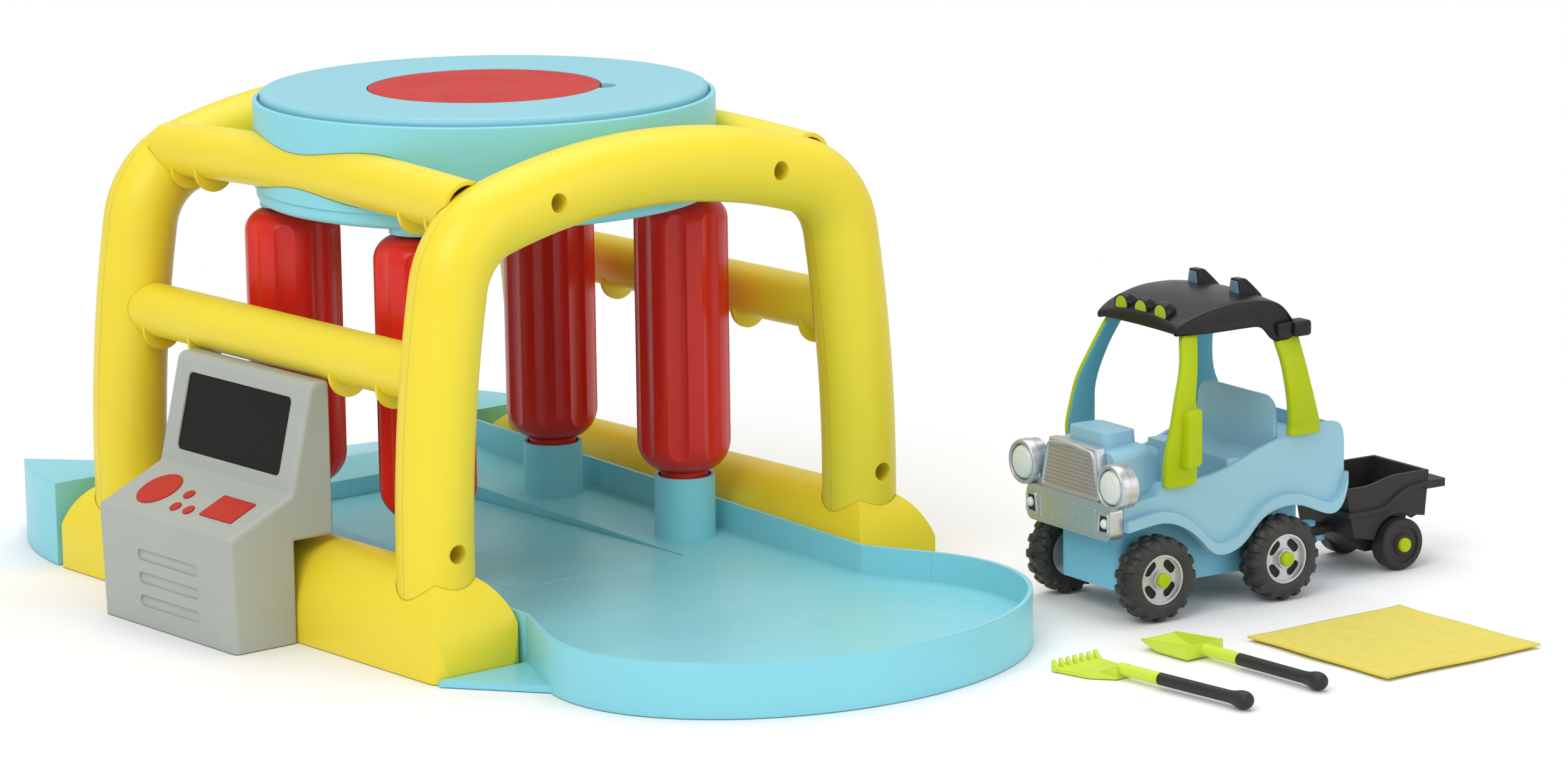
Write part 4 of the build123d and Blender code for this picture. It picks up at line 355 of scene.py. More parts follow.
def turned(form, profile, centre, steps=40, closed=False):
    """Adds a profile of (forward, radius) points turned round a forward axis through the centre."""
    rings = []
    for along, radius in profile:
        ring = []
        for step in range(steps):
            angle = 2 * math.pi * step / steps
            offset = Vector((along, radius * math.cos(angle), radius * math.sin(angle)))
            ring.append(form.verts.new(Vector(centre) + offset))
        rings.append(ring)
    pairs = list(zip(rings, rings[1:]))
    if closed:
        pairs.append((rings[-1], rings[0]))
    else:
        form.faces.new(rings[0])
        form.faces.new(rings[-1])
    for first, second in pairs:
        joined(form, first, second)


def rounded_path(corners, radius, steps=6):
    """Points of a closed flat path, with each corner rounded."""
    points = []
    count = len(corners)
    for index in range(count):
        corner = Vector(corners[index])
        before = (Vector(corners[index - 1]) - corner).normalized() * radius
        after = (Vector(corners[(index + 1) % count]) - corner).normalized() * radius
        for step in range(steps + 1):
            t = step / steps
            start, end = corner + before, corner + after
            points.append((1 - t) ** 2 * start + 2 * t * (1 - t) * corner + t ** 2 * end)
    return points


def rim_of(form, path, along, tube, steps=10):
    """Adds a round bead that follows a closed path in the (side, up) plane."""
    count = len(path)
    rings = []
    for index in range(count):
        ahead = (path[(index + 1) % count] - path[index - 1]).normalized()
        outward = Vector((ahead.y, -ahead.x))
        ring = []
        for step in range(steps):
            angle = 2 * math.pi * step / steps
            out = path[index] + outward * tube * math.cos(angle)
            ring.append(form.verts.new((along + tube * math.sin(angle), out.x, out.y)))
        rings.append(ring)
    for index in range(count):
        joined(form, rings[index], rings[(index + 1) % count])


def plate(form, path, start, end):
    """Adds a flat plate with a closed (side, up) outline between two forward places."""
    back = [form.verts.new((start, point.x, point.y)) for point in path]
    front = [form.verts.new((end, point.x, point.y)) for point in path]
    form.faces.new(back)
    form.faces.new(front)
    joined(form, back, front)


# Truck front, in metres in the truck's frame: how far forward the fascia and the bumper reach
FASCIA_X = 0.0612
BUMPER_X = 0.0636
# Grille: (side, up) corners of its bead, then the louvres, which narrow from foot to head
GRILLE_CORNERS = (
    (-0.0245, 0.0625), (0.0245, 0.0625), (0.0190, 0.0855), (0.0, 0.0870), (-0.0190, 0.0855),
)
GRILLE_ROUNDING = 0.003
GRILLE_BEAD = 0.0012
GRILLE_BEAD_AHEAD = 0.0004
LOUVRES = 11
LOUVRE_REACH = 0.0011
LOUVRE_FOOT = 0.0632
LOUVRE_HEAD = 0.0858
LOUVRE_HALF = 0.0242
LOUVRE_NARROWING = 0.0052
# Shares of the reach and of the pitch for one louvre
LOUVRE_PROFILE = ((1.0, 0.12), (0.8, 0.35), (0.1, 0.98))
# Headlamps: (forward, radius) points of the bezel, then the lens
LAMP_SIDE = 0.038
LAMP_UP = 0.072
BEZEL_PROFILE = (
    (-0.0008, 0.0094), (0.0034, 0.0094), (0.0043, 0.0098), (0.0046, 0.0105),
    (0.0041, 0.0113), (0.0028, 0.0118), (-0.0008, 0.0119),
)
BEZEL_STEPS = 64
LENS_RADIUS = 0.0090
LENS_BASE = 0.0016
LENS_BULGE = 0.0040
LENS_TIP = 0.0002
LENS_RINGS = 24
LENS_STEPS = 96
LENS_RIBS = 9
RIB_HEIGHT = 0.00028
# Bumper: (side, up) corners of its line and of the left corner lamp's frame
BUMPER_LINE = ((-0.0235, 0.0462), (0.0235, 0.0462), (0.0235, 0.0578), (-0.0235, 0.0578))
BUMPER_LINE_ROUNDING = 0.0012
BUMPER_LINE_BEAD = 0.0004
CORNER_LAMP_FRAME = ((0.0262, 0.0468), (0.0348, 0.0475), (0.0348, 0.0570), (0.0275, 0.0570))
CORNER_LAMP_ROUNDING = 0.0014
CORNER_LAMP_BEAD = 0.0009
CORNER_LAMP_AHEAD = 0.0002
CORNER_LAMP_BEHIND = 0.0004
CORNER_LAMP_SIDE = 0.0318
CORNER_LAMP_UP = 0.0522
CORNER_LAMP_PROFILE = (
    (0.0, 0.0026), (0.0008, 0.0025), (0.0016, 0.0020), (0.0021, 0.0011), (0.0022, 0.0002),
)
CORNER_LAMP_STEPS = 28


def make_grille():
    """Louvred panel inside a rounded bead."""
    form = bmesh.new()
    path = rounded_path(GRILLE_CORNERS, GRILLE_ROUNDING)
    rim_of(form, path, FASCIA_X + GRILLE_BEAD_AHEAD, GRILLE_BEAD)
    add_piece("grille_bead", form, SILVER, "truck")
    form = bmesh.new()
    tall = LOUVRE_HEAD - LOUVRE_FOOT
    pitch = tall / LOUVRES
    edge = []
    for louvre in range(LOUVRES):
        bottom = LOUVRE_FOOT + louvre * pitch
        for reach, share in LOUVRE_PROFILE:
            edge.append((FASCIA_X + LOUVRE_REACH * reach, bottom + pitch * share))
    columns = []
    for side in (-1, 1):
        column = []
        for along, up in edge:
            half = LOUVRE_HALF - (up - LOUVRE_FOOT) / tall * LOUVRE_NARROWING
            column.append(form.verts.new((along, side * half, up)))
        columns.append(column)
    left, right = columns
    for index in range(len(edge) - 1):
        form.faces.new((left[index], right[index], right[index + 1], left[index + 1]))
    add_piece("grille_louvres", form, SILVER, "truck", sharp_angle=20.0)


def make_headlamps():
    """Ribbed lens and raised bezel for each headlamp."""
    for side, word in ((1, "left"), (-1, "right")):
        centre = (FASCIA_X, side * LAMP_SIDE, LAMP_UP)
        form = bmesh.new()
        turned(form, BEZEL_PROFILE, centre, closed=True, steps=BEZEL_STEPS)
        add_piece(f"headlamp_bezel_{word}", form, SILVER, "truck")
        form = bmesh.new()
        grid = []
        for ring in range(1, LENS_RINGS + 1):
            radius = LENS_RADIUS * ring / LENS_RINGS
            bulge = 0.0
            if ring < LENS_RINGS:
                bulge = LENS_BULGE * (1 - (radius / LENS_RADIUS) ** 2) ** 0.5
            line = []
            for step in range(LENS_STEPS):
                angle = 2 * math.pi * step / LENS_STEPS
                across, up = radius * math.cos(angle), radius * math.sin(angle)
                rib = 0.0
                if ring < LENS_RINGS - 1:
                    wave = math.cos(math.pi * LENS_RIBS * across / (2 * LENS_RADIUS))
                    rib = RIB_HEIGHT * abs(wave)
                line.append(form.verts.new((
                    centre[0] + LENS_BASE + bulge + rib, centre[1] + across, centre[2] + up,
                )))
            grid.append(line)
        tip = centre[0] + LENS_BASE + LENS_BULGE + LENS_TIP
        middle = form.verts.new((tip, centre[1], centre[2]))
        for step in range(LENS_STEPS):
            form.faces.new((middle, grid[0][step], grid[0][(step + 1) % LENS_STEPS]))
        for first, second in zip(grid, grid[1:]):
            joined(form, first, second)
        add_piece(f"headlamp_lens_{word}", form, LAMP, "truck", sharp_angle=50.0)


def make_bumper_trim():
    """Raised line round the bumper's panel, and a small framed lamp at each corner."""
    form = bmesh.new()
    panel = rounded_path(BUMPER_LINE, BUMPER_LINE_ROUNDING)
    rim_of(form, panel, BUMPER_X, BUMPER_LINE_BEAD, steps=8)
    add_piece("bumper_line", form, SILVER, "truck")
    for side, word in ((1, "left"), (-1, "right")):
        corners = [(side * y, z) for y, z in CORNER_LAMP_FRAME]
        path = rounded_path(corners, CORNER_LAMP_ROUNDING)
        form = bmesh.new()
        rim_of(form, path, BUMPER_X + CORNER_LAMP_AHEAD, CORNER_LAMP_BEAD)
        add_piece(f"corner_lamp_frame_{word}", form, SILVER, "truck")
        form = bmesh.new()
        plate(form, path, BUMPER_X - CORNER_LAMP_BEHIND, BUMPER_X + CORNER_LAMP_AHEAD)
        add_piece(f"corner_lamp_back_{word}", form, COAL, "truck")
        form = bmesh.new()
        centre = (BUMPER_X, side * CORNER_LAMP_SIDE, CORNER_LAMP_UP)
        turned(form, CORNER_LAMP_PROFILE, centre, steps=CORNER_LAMP_STEPS)
        add_piece(f"corner_lamp_{word}", form, LAMP, "truck")


# Truck roof, in millimetres: forward, half width, side crease, crown, lower edge
ROOF_STATIONS = (
    (20.8, 32.8, 144.2, 144.8, 143.4),
    (20.75, 33.0, 145.4, 146.8, 143.4),
    (20.2, 33.3, 146.7, 149.2, 143.3),
    (19.0, 33.6, 147.6, 151.2, 143.2),
    (16.5, 34.1, 149.2, 152.1, 143.2),
    (12.9, 34.8, 151.0, 152.8, 143.1),
    (8.0, 35.4, 152.8, 153.7, 143.1),
    (3.0, 35.8, 154.2, 155.0, 143.0),
    (-2.0, 36.1, 155.4, 156.3, 143.0),
    (-8.0, 36.4, 156.4, 157.5, 143.1),
    (-14.3, 36.6, 156.9, 158.3, 143.2),
    (-21.0, 36.8, 157.0, 158.8, 143.3),
    (-28.0, 36.9, 156.8, 158.8, 143.2),
    (-32.0, 37.0, 156.4, 158.6, 142.0),
    (-35.0, 37.1, 156.0, 158.2, 139.2),
    (-38.0, 37.1, 155.4, 157.7, 136.0),
    (-41.0, 37.2, 154.4, 156.8, 134.3),
    (-44.0, 37.2, 152.7, 155.1, 134.0),
    (-46.8, 37.2, 150.2, 152.7, 134.0),
    (-49.5, 37.1, 147.0, 149.6, 134.1),
    (-52.2, 36.9, 143.5, 146.1, 134.2),
    (-54.4, 36.6, 139.8, 142.4, 134.3),
    (-55.6, 36.2, 136.2, 138.6, 134.5),
)
ROOF_THICKNESS = 1.8
ROOF_TOP_STEPS = 9
# Side of the roof below its crease: the lower edge and the hollow, in from the half width
ROOF_EDGE_IN = 0.5
ROOF_HOLLOW_IN = 1.1
ROOF_HOLLOW_UP = 0.4
ROOF_CREASE_IN = 1.0
# Rolled part below the crease: in from the half width, greatest depth, and share of the side
ROOF_ROLL = ((0.9, 2.6, 0.3), (0.3, 1.6, 0.2), (0.0, 0.9, 0.12), (0.25, 0.35, 0.05))
# Pods: middle, bottom, half widths at the foot and head, then forward, top height and shrink
POD_SIDE = 17.4
POD_BOTTOM = 154.5
POD_FOOT_HALF = 4.7
POD_HEAD_HALF = 3.4
POD_ROUNDING = 0.8
POD_CORNER_STEPS = 4
POD_STATIONS = (
    (-28.5, 164.9, 0.5), (-28.9, 165.4, 0.0), (-32.8, 165.4, 0.0), (-34.2, 164.8, 0.0),
    (-37.7, 161.8, 0.1), (-41.2, 158.6, 0.3), (-43.5, 156.4, 0.6),
)
# Pod windows: the pod's front face, the window's back and front from it, and its corners
POD_FACE = -28.5
POD_WINDOW_BACK = 0.4
POD_WINDOW_FRONT = 0.3
POD_WINDOW_CORNERS = ((-4.0, 157.6), (4.0, 157.6), (2.8, 164.3), (-2.8, 164.3))
POD_WINDOW_ROUNDING = 0.7
# Lamps in a row: face, height and pitch, then the lens as (forward, radius) in metres
LAMP_FACE = 17.8
LAMP_UP_ROOF = 151.9
LAMP_PITCH = 16.5
ROOF_LENS_PROFILE = (
    (-0.0004, 0.0049), (0.0001, 0.0049), (0.0004, 0.0044), (0.0006, 0.0028), (0.0007, 0.0004),
)
# Forward, radius and centre height of each hood section
HOOD_STATIONS = (
    (17.5, 4.8, 151.9), (18.2, 5.1, 151.9), (18.25, 5.4, 151.9), (17.8, 5.7, 151.9),
    (16.5, 5.8, 152.0), (14.5, 5.7, 152.2), (12.5, 5.1, 152.5), (10.9, 4.1, 152.8),
    (9.7, 2.8, 153.1), (8.9, 1.4, 153.3), (8.7, 0.5, 153.4),
)
HOOD_STEPS = 40
# Corner blocks: forward start and end, side start and end, bottom and top
CORNER_BLOCKS = (
    ("near", -50.2, -40.4, 35.6, 39.2, 136.6, 144.0),
    ("rear", -60.4, -49.6, 32.4, 41.0, 136.0, 144.0),
)
BLOCK_ROUNDING = 1.8
BLOCK_CORNER_STEPS = 5
# Rolled outer edge of a block: back from its side face, and shrink there
BLOCK_EDGE = ((1.1, 0.0), (0.35, 0.35), (0.0, 1.1))


def curve_value(a, b, c, d, t):
    """Value at a share t of the way from b to c on the Catmull-Rom curve of four values."""
    square = (2 * a - 5 * b + 4 * c - d) * t ** 2
    cube = (3 * b - a - 3 * c + d) * t ** 3
    return 0.5 * (2 * b + (c - a) * t + square + cube)


def smoothed(stations, steps=4):
    """Row of stations with more added between them, on a smooth curve through them all."""
    row = []
    last = len(stations) - 1
    for index in range(last):
        four = [stations[min(max(index + shift, 0), last)] for shift in (-1, 0, 1, 2)]
        for step in range(steps):
            row.append(tuple(curve_value(*values, step / steps) for values in zip(*four)))
    row.append(tuple(stations[last]))
    return row


def lofted(form, rings):
    """Skins closed rings in millimetres, with both ends closed; gives the rows of side faces."""
    made = [[form.verts.new(Vector(point) * MM) for point in ring] for ring in rings]
    form.faces.new(made[0])
    form.faces.new(made[-1])
    return [joined(form, first, second) for first, second in zip(made, made[1:])]


def roof_section(forward, half, crease, crown, low):
    """One side-to-side line over the roof, with a rolled crease and a hollow side below it."""
    drop = crease - low
    top = half - ROOF_CREASE_IN
    side = [(half - ROOF_EDGE_IN, low), (half - ROOF_HOLLOW_IN, low + ROOF_HOLLOW_UP * drop)]
    for inward, depth, share in ROOF_ROLL:
        side.append((half - inward, crease - min(depth, share * drop)))
    side.append((top, crease))
    for step in range(1, ROOF_TOP_STEPS + 1):
        share = 1 - step / ROOF_TOP_STEPS
        side.append((top * share, crease + (crown - crease) * (1 - share ** 2)))
    right = [(forward, -y, z) for y, z in side]
    return right + [(forward, y, z) for y, z in reversed(side[:-1])]


def make_pod(side, word):
    """Wedge-shaped pod on the roof, with the window in its front."""
    middle = side * POD_SIDE
    form = bmesh.new()
    rings = []
    for forward, top, less in POD_STATIONS:
        foot, head = POD_FOOT_HALF - less, POD_HEAD_HALF - less
        corners = (
            (middle - foot, POD_BOTTOM), (middle + foot, POD_BOTTOM),
            (middle + head, top), (middle - head, top),
        )
        path = rounded_path(corners, POD_ROUNDING, POD_CORNER_STEPS)
        rings.append([(forward, point.x, point.y) for point in path])
    lofted(form, rings)
    add_piece(f"roof_pod_{word}", form, BLACK, "truck")
    form = bmesh.new()
    corners = [(middle + y, z) for y, z in POD_WINDOW_CORNERS]
    path = rounded_path(corners, POD_WINDOW_ROUNDING, POD_CORNER_STEPS)
    faces = (POD_FACE - POD_WINDOW_BACK, POD_FACE + POD_WINDOW_FRONT)
    lofted(form, [[(forward, point.x, point.y) for point in path] for forward in faces])
    add_piece(f"pod_window_{word}", form, GLASS_BLUE, "truck")


def make_corner_blocks(side, word):
    """Two rounded blocks at the roof's lower rear corner."""
    for place, start, end, inner, outer, low, high in CORNER_BLOCKS:
        form = bmesh.new()
        rings = []
        sections = [(inner, 0.0)] + [(outer - back, less) for back, less in BLOCK_EDGE]
        for reach, less in sections:
            corners = (
                (start + less, low + less), (end - less, low + less),
                (end - less, high - less), (start + less, high - less),
            )
            path = rounded_path(corners, BLOCK_ROUNDING, BLOCK_CORNER_STEPS)
            rings.append([(point.x, side * reach, point.y) for point in path])
        lofted(form, rings)
        add_piece(f"roof_block_{place}_{word}", form, BLACK, "truck")


def make_roof_lamp(row, word):
    """Lamp at the roof's front edge, with its hood running back into the roof."""
    form = bmesh.new()
    rings = []
    for forward, radius, up in HOOD_STATIONS:
        ring = []
        for step in range(HOOD_STEPS):
            angle = 2 * math.pi * step / HOOD_STEPS
            out = row * LAMP_PITCH + radius * math.cos(angle)
            ring.append((forward, out, up + radius * math.sin(angle)))
        rings.append(ring)
    lofted(form, rings)
    add_piece(f"roof_lamp_hood_{word}", form, BLACK, "truck")
    form = bmesh.new()
    centre = (LAMP_FACE * MM, row * LAMP_PITCH * MM, LAMP_UP_ROOF * MM)
    turned(form, ROOF_LENS_PROFILE, centre)
    add_piece(f"roof_lamp_lens_{word}", form, LAMP_LIME, "truck")


def make_roof():
    """Thin arched roof with its pods, corner blocks and hooded lamps."""
    form = bmesh.new()
    rows = []
    for station in smoothed(ROOF_STATIONS):
        rows.append([form.verts.new(Vector(point) * MM) for point in roof_section(*station)])
    skinned(form, rows)
    roof = add_piece("roof_shell", form, BLACK, "truck", sharp_angle=40.0)
    if sum(face.normal.z * face.area for face in roof.data.polygons) < 0:
        roof.data.flip_normals()
    # The clamp keeps the wall from spiking at the front corners
    thickened(roof, ROOF_THICKNESS * MM).thickness_clamp = 1.0
    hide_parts("truck_roof")
    for side, word in ((1, "left"), (-1, "right")):
        make_pod(side, word)
        make_corner_blocks(side, word)
    for row, word in ((-1, "right"), (0, "middle"), (1, "left")):
        make_roof_lamp(row, word)


# Truck pillars, in millimetres: rear edge, front edge, middle of the wall, height
FRONT_PILLAR = (
    (14.4, 29.8, 38.3, 67.2), (12.7, 31.6, 38.3, 68.2), (12.2, 32.2, 38.6, 70.6),
    (13.4, 33.5, 40.3, 76.5), (16.6, 33.8, 42.3, 86.0), (16.8, 30.6, 42.7, 99.0),
    (15.2, 27.2, 41.6, 112.0), (11.2, 21.0, 37.7, 127.5), (7.6, 17.2, 32.7, 139.5),
    (6.4, 15.8, 30.9, 143.0), (5.6, 14.8, 30.2, 146.0),
)
REAR_PILLAR = (
    (-65.6, -49.0, 38.0, 84.4), (-67.2, -47.6, 38.0, 85.6), (-67.2, -47.4, 38.3, 89.0),
    (-64.5, -46.3, 40.3, 94.0), (-60.0, -44.3, 41.7, 106.0), (-57.0, -42.9, 39.0, 122.0),
    (-56.0, -41.4, 34.6, 134.0), (-55.2, -40.8, 33.0, 139.0), (-54.0, -41.0, 31.6, 142.0),
)
PILLAR_THICKNESS = 4.4
PILLAR_CORNER = 1.2
PILLAR_CORNER_POINTS = 4
PILLAR_CORNER_TURN = 30
# Inner faces of a pillar's ring of sixteen, four for each corner
TEAL_FACES = range(9, 15)
# Mirror block: corners and middle in the (forward, up) plane, then side reach and shrink there
MIRROR_CORNERS = ((15.0, 79.0), (24.4, 77.0), (24.4, 106.5), (15.0, 108.5))
MIRROR_FORWARD = 19.7
MIRROR_UP = 93.0
MIRROR_REACH = ((43.2, 0.0), (48.0, 0.0), (48.7, 0.4), (49.0, 1.1))
MIRROR_ROUNDING = 2.6


def pillar_ring(rear, front, middle, up, side):
    """Level section of a pillar, a rectangle with rounded corners."""
    half = PILLAR_THICKNESS / 2 - PILLAR_CORNER
    ring = []
    for x, y, start in (
        (front - PILLAR_CORNER, half, 0), (rear + PILLAR_CORNER, half, 90),
        (rear + PILLAR_CORNER, -half, 180), (front - PILLAR_CORNER, -half, 270),
    ):
        for step in range(PILLAR_CORNER_POINTS):
            angle = math.radians(start + PILLAR_CORNER_TURN * step)
            out = middle + y + PILLAR_CORNER * math.sin(angle)
            ring.append((x + PILLAR_CORNER * math.cos(angle), side * out, up))
    return ring


def make_pillars():
    """Curved front and rear pillars with a mirror block, lime outside and teal inside."""
    for side, word in ((1, "left"), (-1, "right")):
        form = bmesh.new()
        for stations in (FRONT_PILLAR, REAR_PILLAR):
            rows = lofted(form, [pillar_ring(*row, side) for row in smoothed(stations)])
            for row in rows:
                for index in TEAL_FACES:
                    row[index].material_index = 1
        rings = []
        for reach, less in MIRROR_REACH:
            shrunk = []
            for x, z in MIRROR_CORNERS:
                inward = math.copysign(less, MIRROR_FORWARD - x)
                shrunk.append((x + inward, z + math.copysign(less, MIRROR_UP - z)))
            path = rounded_path(shrunk, MIRROR_ROUNDING)
            rings.append([(point.x, side * reach, point.y) for point in path])
        lofted(form, rings)
        piece = add_piece(f"pillars_{word}", form, LIME, "truck")
        piece.data.materials.append(TEAL)
        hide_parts(f"truck_pillars_{word}")


# Truck tyres, in millimetres: inward from the outer side, and radius
TYRE_PROFILE = (
    (0.9, 13.15), (0.5, 14.2), (0.2, 15.5), (0.5, 17.5), (1.4, 19.4), (3.2, 20.5), (7.75, 20.8),
    (12.3, 20.5), (14.1, 19.4), (15.0, 17.5), (15.3, 15.5), (15.0, 14.2), (14.6, 13.15),
)
TYRE_STEPS = 72
# Tread blocks: top and foot points from the side wall inward, and half width there in degrees
LUG_TOP = (
    (0.7, 16.6), (0.3, 17.6), (0.25, 18.6), (0.8, 20.3), (2.2, 21.6), (4.2, 22.0), (6.9, 22.0),
    (7.5, 21.4),
)
LUG_FOOT = (
    (0.9, 16.8), (1.0, 17.6), (1.3, 18.4), (2.0, 19.4), (3.2, 20.2), (5.0, 20.5), (6.9, 20.5),
    (7.6, 20.6),
)
LUG_SPREAD = (3.2, 4.6, 5.4, 6.3, 7.0, 7.3, 7.0, 5.4)
# Rounded section of a block: shares of its half width and of its height
LUG_SECTION = (
    (-1.0, 0.0), (-0.93, 0.55), (-0.72, 0.95), (-0.35, 1.0),
    (0.35, 1.0), (0.72, 0.95), (0.93, 0.55), (1.0, 0.0),
)
LUG_COUNT = 16
TYRE_WIDTH = 15.5
# Wheels: hub height, side of the outer face, and how far forward each axle is
HUB_UP = 22.0
TYRE_SIDE = 46.0
AXLES = (("front", 37.0), ("rear", -42.0))
# Black ring behind the rim's slots, painted shade for the dark inside them, as the tyre's profile
SLOT_SHADE_RING = ((4.5, 5.4), (5.3, 5.4), (5.3, 11.4), (4.5, 11.4))


def wheel_place(axle, side):
    """Frame with +X running inward from the outer side of a wheel, along its axle."""
    spot = Matrix.Translation((axle * MM, side * TYRE_SIDE * MM, HUB_UP * MM))
    return spot @ Matrix.Rotation(-side * math.pi / 2, 4, "Z")


def lug(form, angle, far):
    """One tread block that wraps from the side wall to the middle of the tread."""
    rings = []
    for top, foot, spread in zip(LUG_TOP, LUG_FOOT, LUG_SPREAD):
        ring = []
        for share, lift in LUG_SECTION:
            along, radius = (f + (t - f) * lift for f, t in zip(foot, top))
            turn = angle + math.radians(spread * share)
            inward = TYRE_WIDTH - along if far else along
            ring.append((inward, radius * math.cos(turn), radius * math.sin(turn)))
        rings.append(ring)
    lofted(form, rings)


def make_tyres():
    """Tyres with rounded tread blocks, and a black ring behind the rim's slots as painted shade
    inside them.
    """
    for axle_word, axle in AXLES:
        form, pads = bmesh.new(), bmesh.new()
        for side in (1, -1):
            place = wheel_place(axle, side)
            for target, profile in ((form, TYRE_PROFILE), (pads, SLOT_SHADE_RING)):
                start = len(target.verts)
                scaled = [(along * MM, radius * MM) for along, radius in profile]
                turned(target, scaled, (0, 0, 0), steps=TYRE_STEPS, closed=True)
                if target is form:
                    step = 2 * math.pi / LUG_COUNT
                    for index in range(LUG_COUNT):
                        lug(form, step * index, False)
                        lug(form, step * (index + 0.5), True)
                target.verts.ensure_lookup_table()
                bmesh.ops.transform(target, matrix=place, verts=target.verts[start:])
        body = f"truck_{axle_word}_wheels"
        tyres = add_piece(f"{axle_word}_tyre_treads", form, TYRE, body)
        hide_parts(f"truck_{axle_word}_tyres")
        # The black ring is painted shade: it darkens the insides of the rim's slots
        add_piece(f"{axle_word}_slot_painted_shade", pads, BLACK, body)


# Wiping cloth, in metres
CLOTH_SIDE = 0.102
CLOTH_SPOT = (0.4252, 0.237, 0.0)
CLOTH_TURN = math.radians(-3.5)
CLOTH_PLACE = Matrix.Translation(CLOTH_SPOT) @ Matrix.Rotation(CLOTH_TURN, 4, "Z")
CLOTH_STEPS = 60
CLOTH_THICK = 0.001
# Waviness of the cut edge and of the sheet, and the lift of the corners
CLOTH_EDGE_WAVE = 0.0005
CLOTH_WAVE = 0.00022
CLOTH_CORNER_LIFT = 0.0005
CLOTH_CORNER_START = 0.7


def make_cloth():
    """Wiping cloth laid flat, with a slight wave and an uneven cut edge."""
    form = bmesh.new()
    rows = []
    for row in range(CLOTH_STEPS + 1):
        line = []
        for column in range(CLOTH_STEPS + 1):
            u, v = column / CLOTH_STEPS - 0.5, row / CLOTH_STEPS - 0.5
            edge_u = abs(2 * u) ** 6 * math.copysign(1, u)
            edge_v = abs(2 * v) ** 6 * math.copysign(1, v)
            x = u * CLOTH_SIDE + CLOTH_EDGE_WAVE * math.sin(9 * v + 1) * edge_u
            y = v * CLOTH_SIDE + CLOTH_EDGE_WAVE * math.sin(11 * u + 2) * edge_v
            wave = math.sin(7 * u + 2 * v + 0.4) * math.sin(5 * v - 2 * u + 1.1)
            corner = max(0.0, abs(u * v) * 4 - CLOTH_CORNER_START)
            lift = CLOTH_WAVE * (1 + wave) + CLOTH_CORNER_LIFT * corner
            line.append(form.verts.new((x, y, CLOTH_THICK + lift)))
        rows.append(line)
    skinned(form, rows)
    piece = add_piece("wiping_cloth_sheet", form, CLOTH, "wiping_cloth", place=CLOTH_PLACE)
    thickened(piece, CLOTH_THICK)
    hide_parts("cloth")


# Floor, surroundings and lights; the floor fades to plain white between two distances
FLOOR_HALF = 12.0
FLOOR_UP = -0.0004
FLOOR_WHITE = (0.9, 0.9, 0.9, 1.0)
FLOOR_ROUGHNESS = 0.9
FLOOR_SHINE = 0.1
FLOOR_MIDDLE = (0.13, 0.08, 0.0)
FLOOR_NEAR = 0.45
FLOOR_FAR = 0.75
PLAIN_WHITE = (1.0, 1.0, 1.0, 1.0)
WORLD_LIGHT = 0.62
# Lamps: name, place, aim, side of the square, and power in watts
LIGHTS = (
    ("key", (0.9, -1.7, 1.9), (0.05, 0.0, 0.1), 1.5, 26.0),
    ("top", (-0.3, 0.5, 2.2), (0.1, 0.1, 0.0), 2.0, 22.0),
    ("fill", (2.4, 0.8, 1.0), (0.1, 0.1, 0.1), 1.6, 10.0),
)


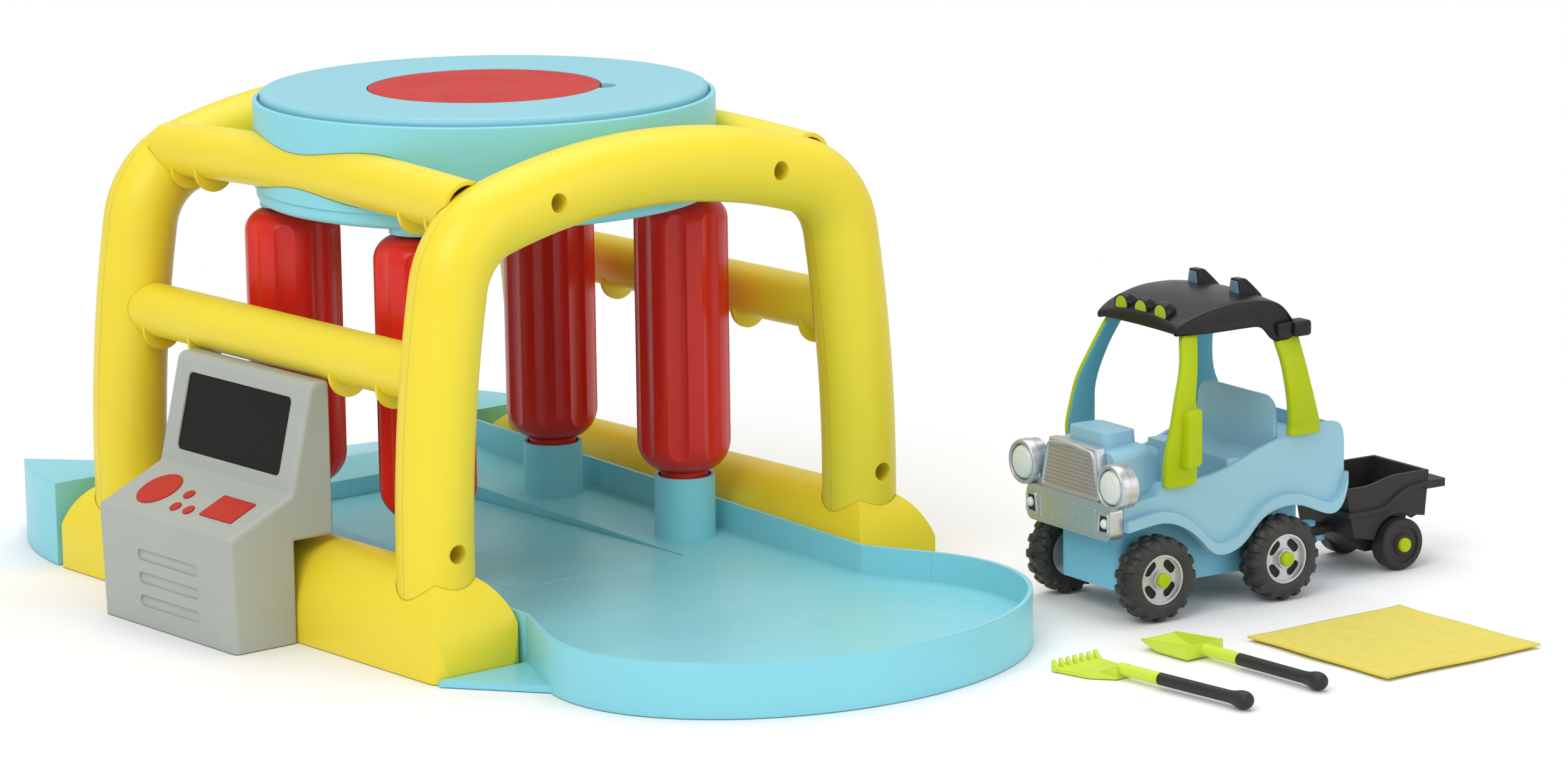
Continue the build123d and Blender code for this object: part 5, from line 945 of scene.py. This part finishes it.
def make_stage():
    """Pale floor that takes the object's shadow, and shows plain white further away."""
    mesh = bpy.data.meshes.new("floor")
    form = bmesh.new()
    bmesh.ops.create_grid(form, x_segments=1, y_segments=1, size=FLOOR_HALF)
    form.to_mesh(mesh)
    form.free()
    floor = bpy.data.objects.new("floor", mesh)
    floor.location = (0, 0, FLOOR_UP)
    bpy.context.scene.collection.objects.link(floor)
    material, tree, shader, place = node_tools("floor_white")
    shader.inputs["Base Color"].default_value = FLOOR_WHITE
    shader.inputs["Roughness"].default_value = FLOOR_ROUGHNESS
    shader.inputs["Specular IOR Level"].default_value = FLOOR_SHINE
    plain = tree.nodes.new("ShaderNodeEmission")
    plain.inputs["Color"].default_value = PLAIN_WHITE
    plain.inputs["Strength"].default_value = 1.0
    away = tree.nodes.new("ShaderNodeVectorMath")
    away.operation = "DISTANCE"
    away.inputs[1].default_value = FLOOR_MIDDLE
    tree.links.new(place, away.inputs[0])
    edge = tree.nodes.new("ShaderNodeMapRange")
    edge.interpolation_type = "SMOOTHSTEP"
    edge.inputs["From Min"].default_value = FLOOR_NEAR
    edge.inputs["From Max"].default_value = FLOOR_FAR
    tree.links.new(away.outputs["Value"], edge.inputs["Value"])
    path = tree.nodes.new("ShaderNodeLightPath")
    seen = tree.nodes.new("ShaderNodeMath")
    seen.operation = "MULTIPLY"
    tree.links.new(edge.outputs["Result"], seen.inputs[0])
    tree.links.new(path.outputs["Is Camera Ray"], seen.inputs[1])
    mix = tree.nodes.new("ShaderNodeMixShader")
    tree.links.new(seen.outputs["Value"], mix.inputs["Fac"])
    tree.links.new(shader.outputs["BSDF"], mix.inputs[1])
    tree.links.new(plain.outputs["Emission"], mix.inputs[2])
    tree.links.new(mix.outputs["Shader"], tree.nodes["Material Output"].inputs["Surface"])
    mesh.materials.append(material)


def make_world():
    """Soft white surroundings, plain white to the camera."""
    world = bpy.data.worlds.new("studio")
    bpy.context.scene.world = world
    world.use_nodes = True
    tree = world.node_tree
    light = tree.nodes["Background"]
    light.inputs["Color"].default_value = PLAIN_WHITE
    light.inputs["Strength"].default_value = WORLD_LIGHT
    white = tree.nodes.new("ShaderNodeBackground")
    white.inputs["Color"].default_value = PLAIN_WHITE
    white.inputs["Strength"].default_value = 1.0
    path = tree.nodes.new("ShaderNodeLightPath")
    mix = tree.nodes.new("ShaderNodeMixShader")
    tree.links.new(path.outputs["Is Camera Ray"], mix.inputs["Fac"])
    tree.links.new(light.outputs["Background"], mix.inputs[1])
    tree.links.new(white.outputs["Background"], mix.inputs[2])
    tree.links.new(mix.outputs["Shader"], tree.nodes["World Output"].inputs["Surface"])


def soft_lamp(name, place, target, size, power):
    """Square area lamp aimed at a point."""
    data = bpy.data.lights.new(name, "AREA")
    data.shape = "SQUARE"
    data.size = size
    data.energy = power
    lamp = bpy.data.objects.new(name, data)
    lamp.location = place
    aim = Vector(target) - Vector(place)
    lamp.rotation_euler = aim.to_track_quat("-Z", "Y").to_euler()
    bpy.context.scene.collection.objects.link(lamp)


def make_lights():
    """Large soft lamps: high on the camera's left, overhead, and on its right."""
    for light in LIGHTS:
        soft_lamp(*light)


make_camera()
paint_nodes()
make_grille()
make_headlamps()
make_bumper_trim()
make_roof()
make_pillars()
make_tyres()
make_cloth()
make_stage()
make_world()
make_lights()
bpy.context.scene.view_settings.view_transform = "Standard"
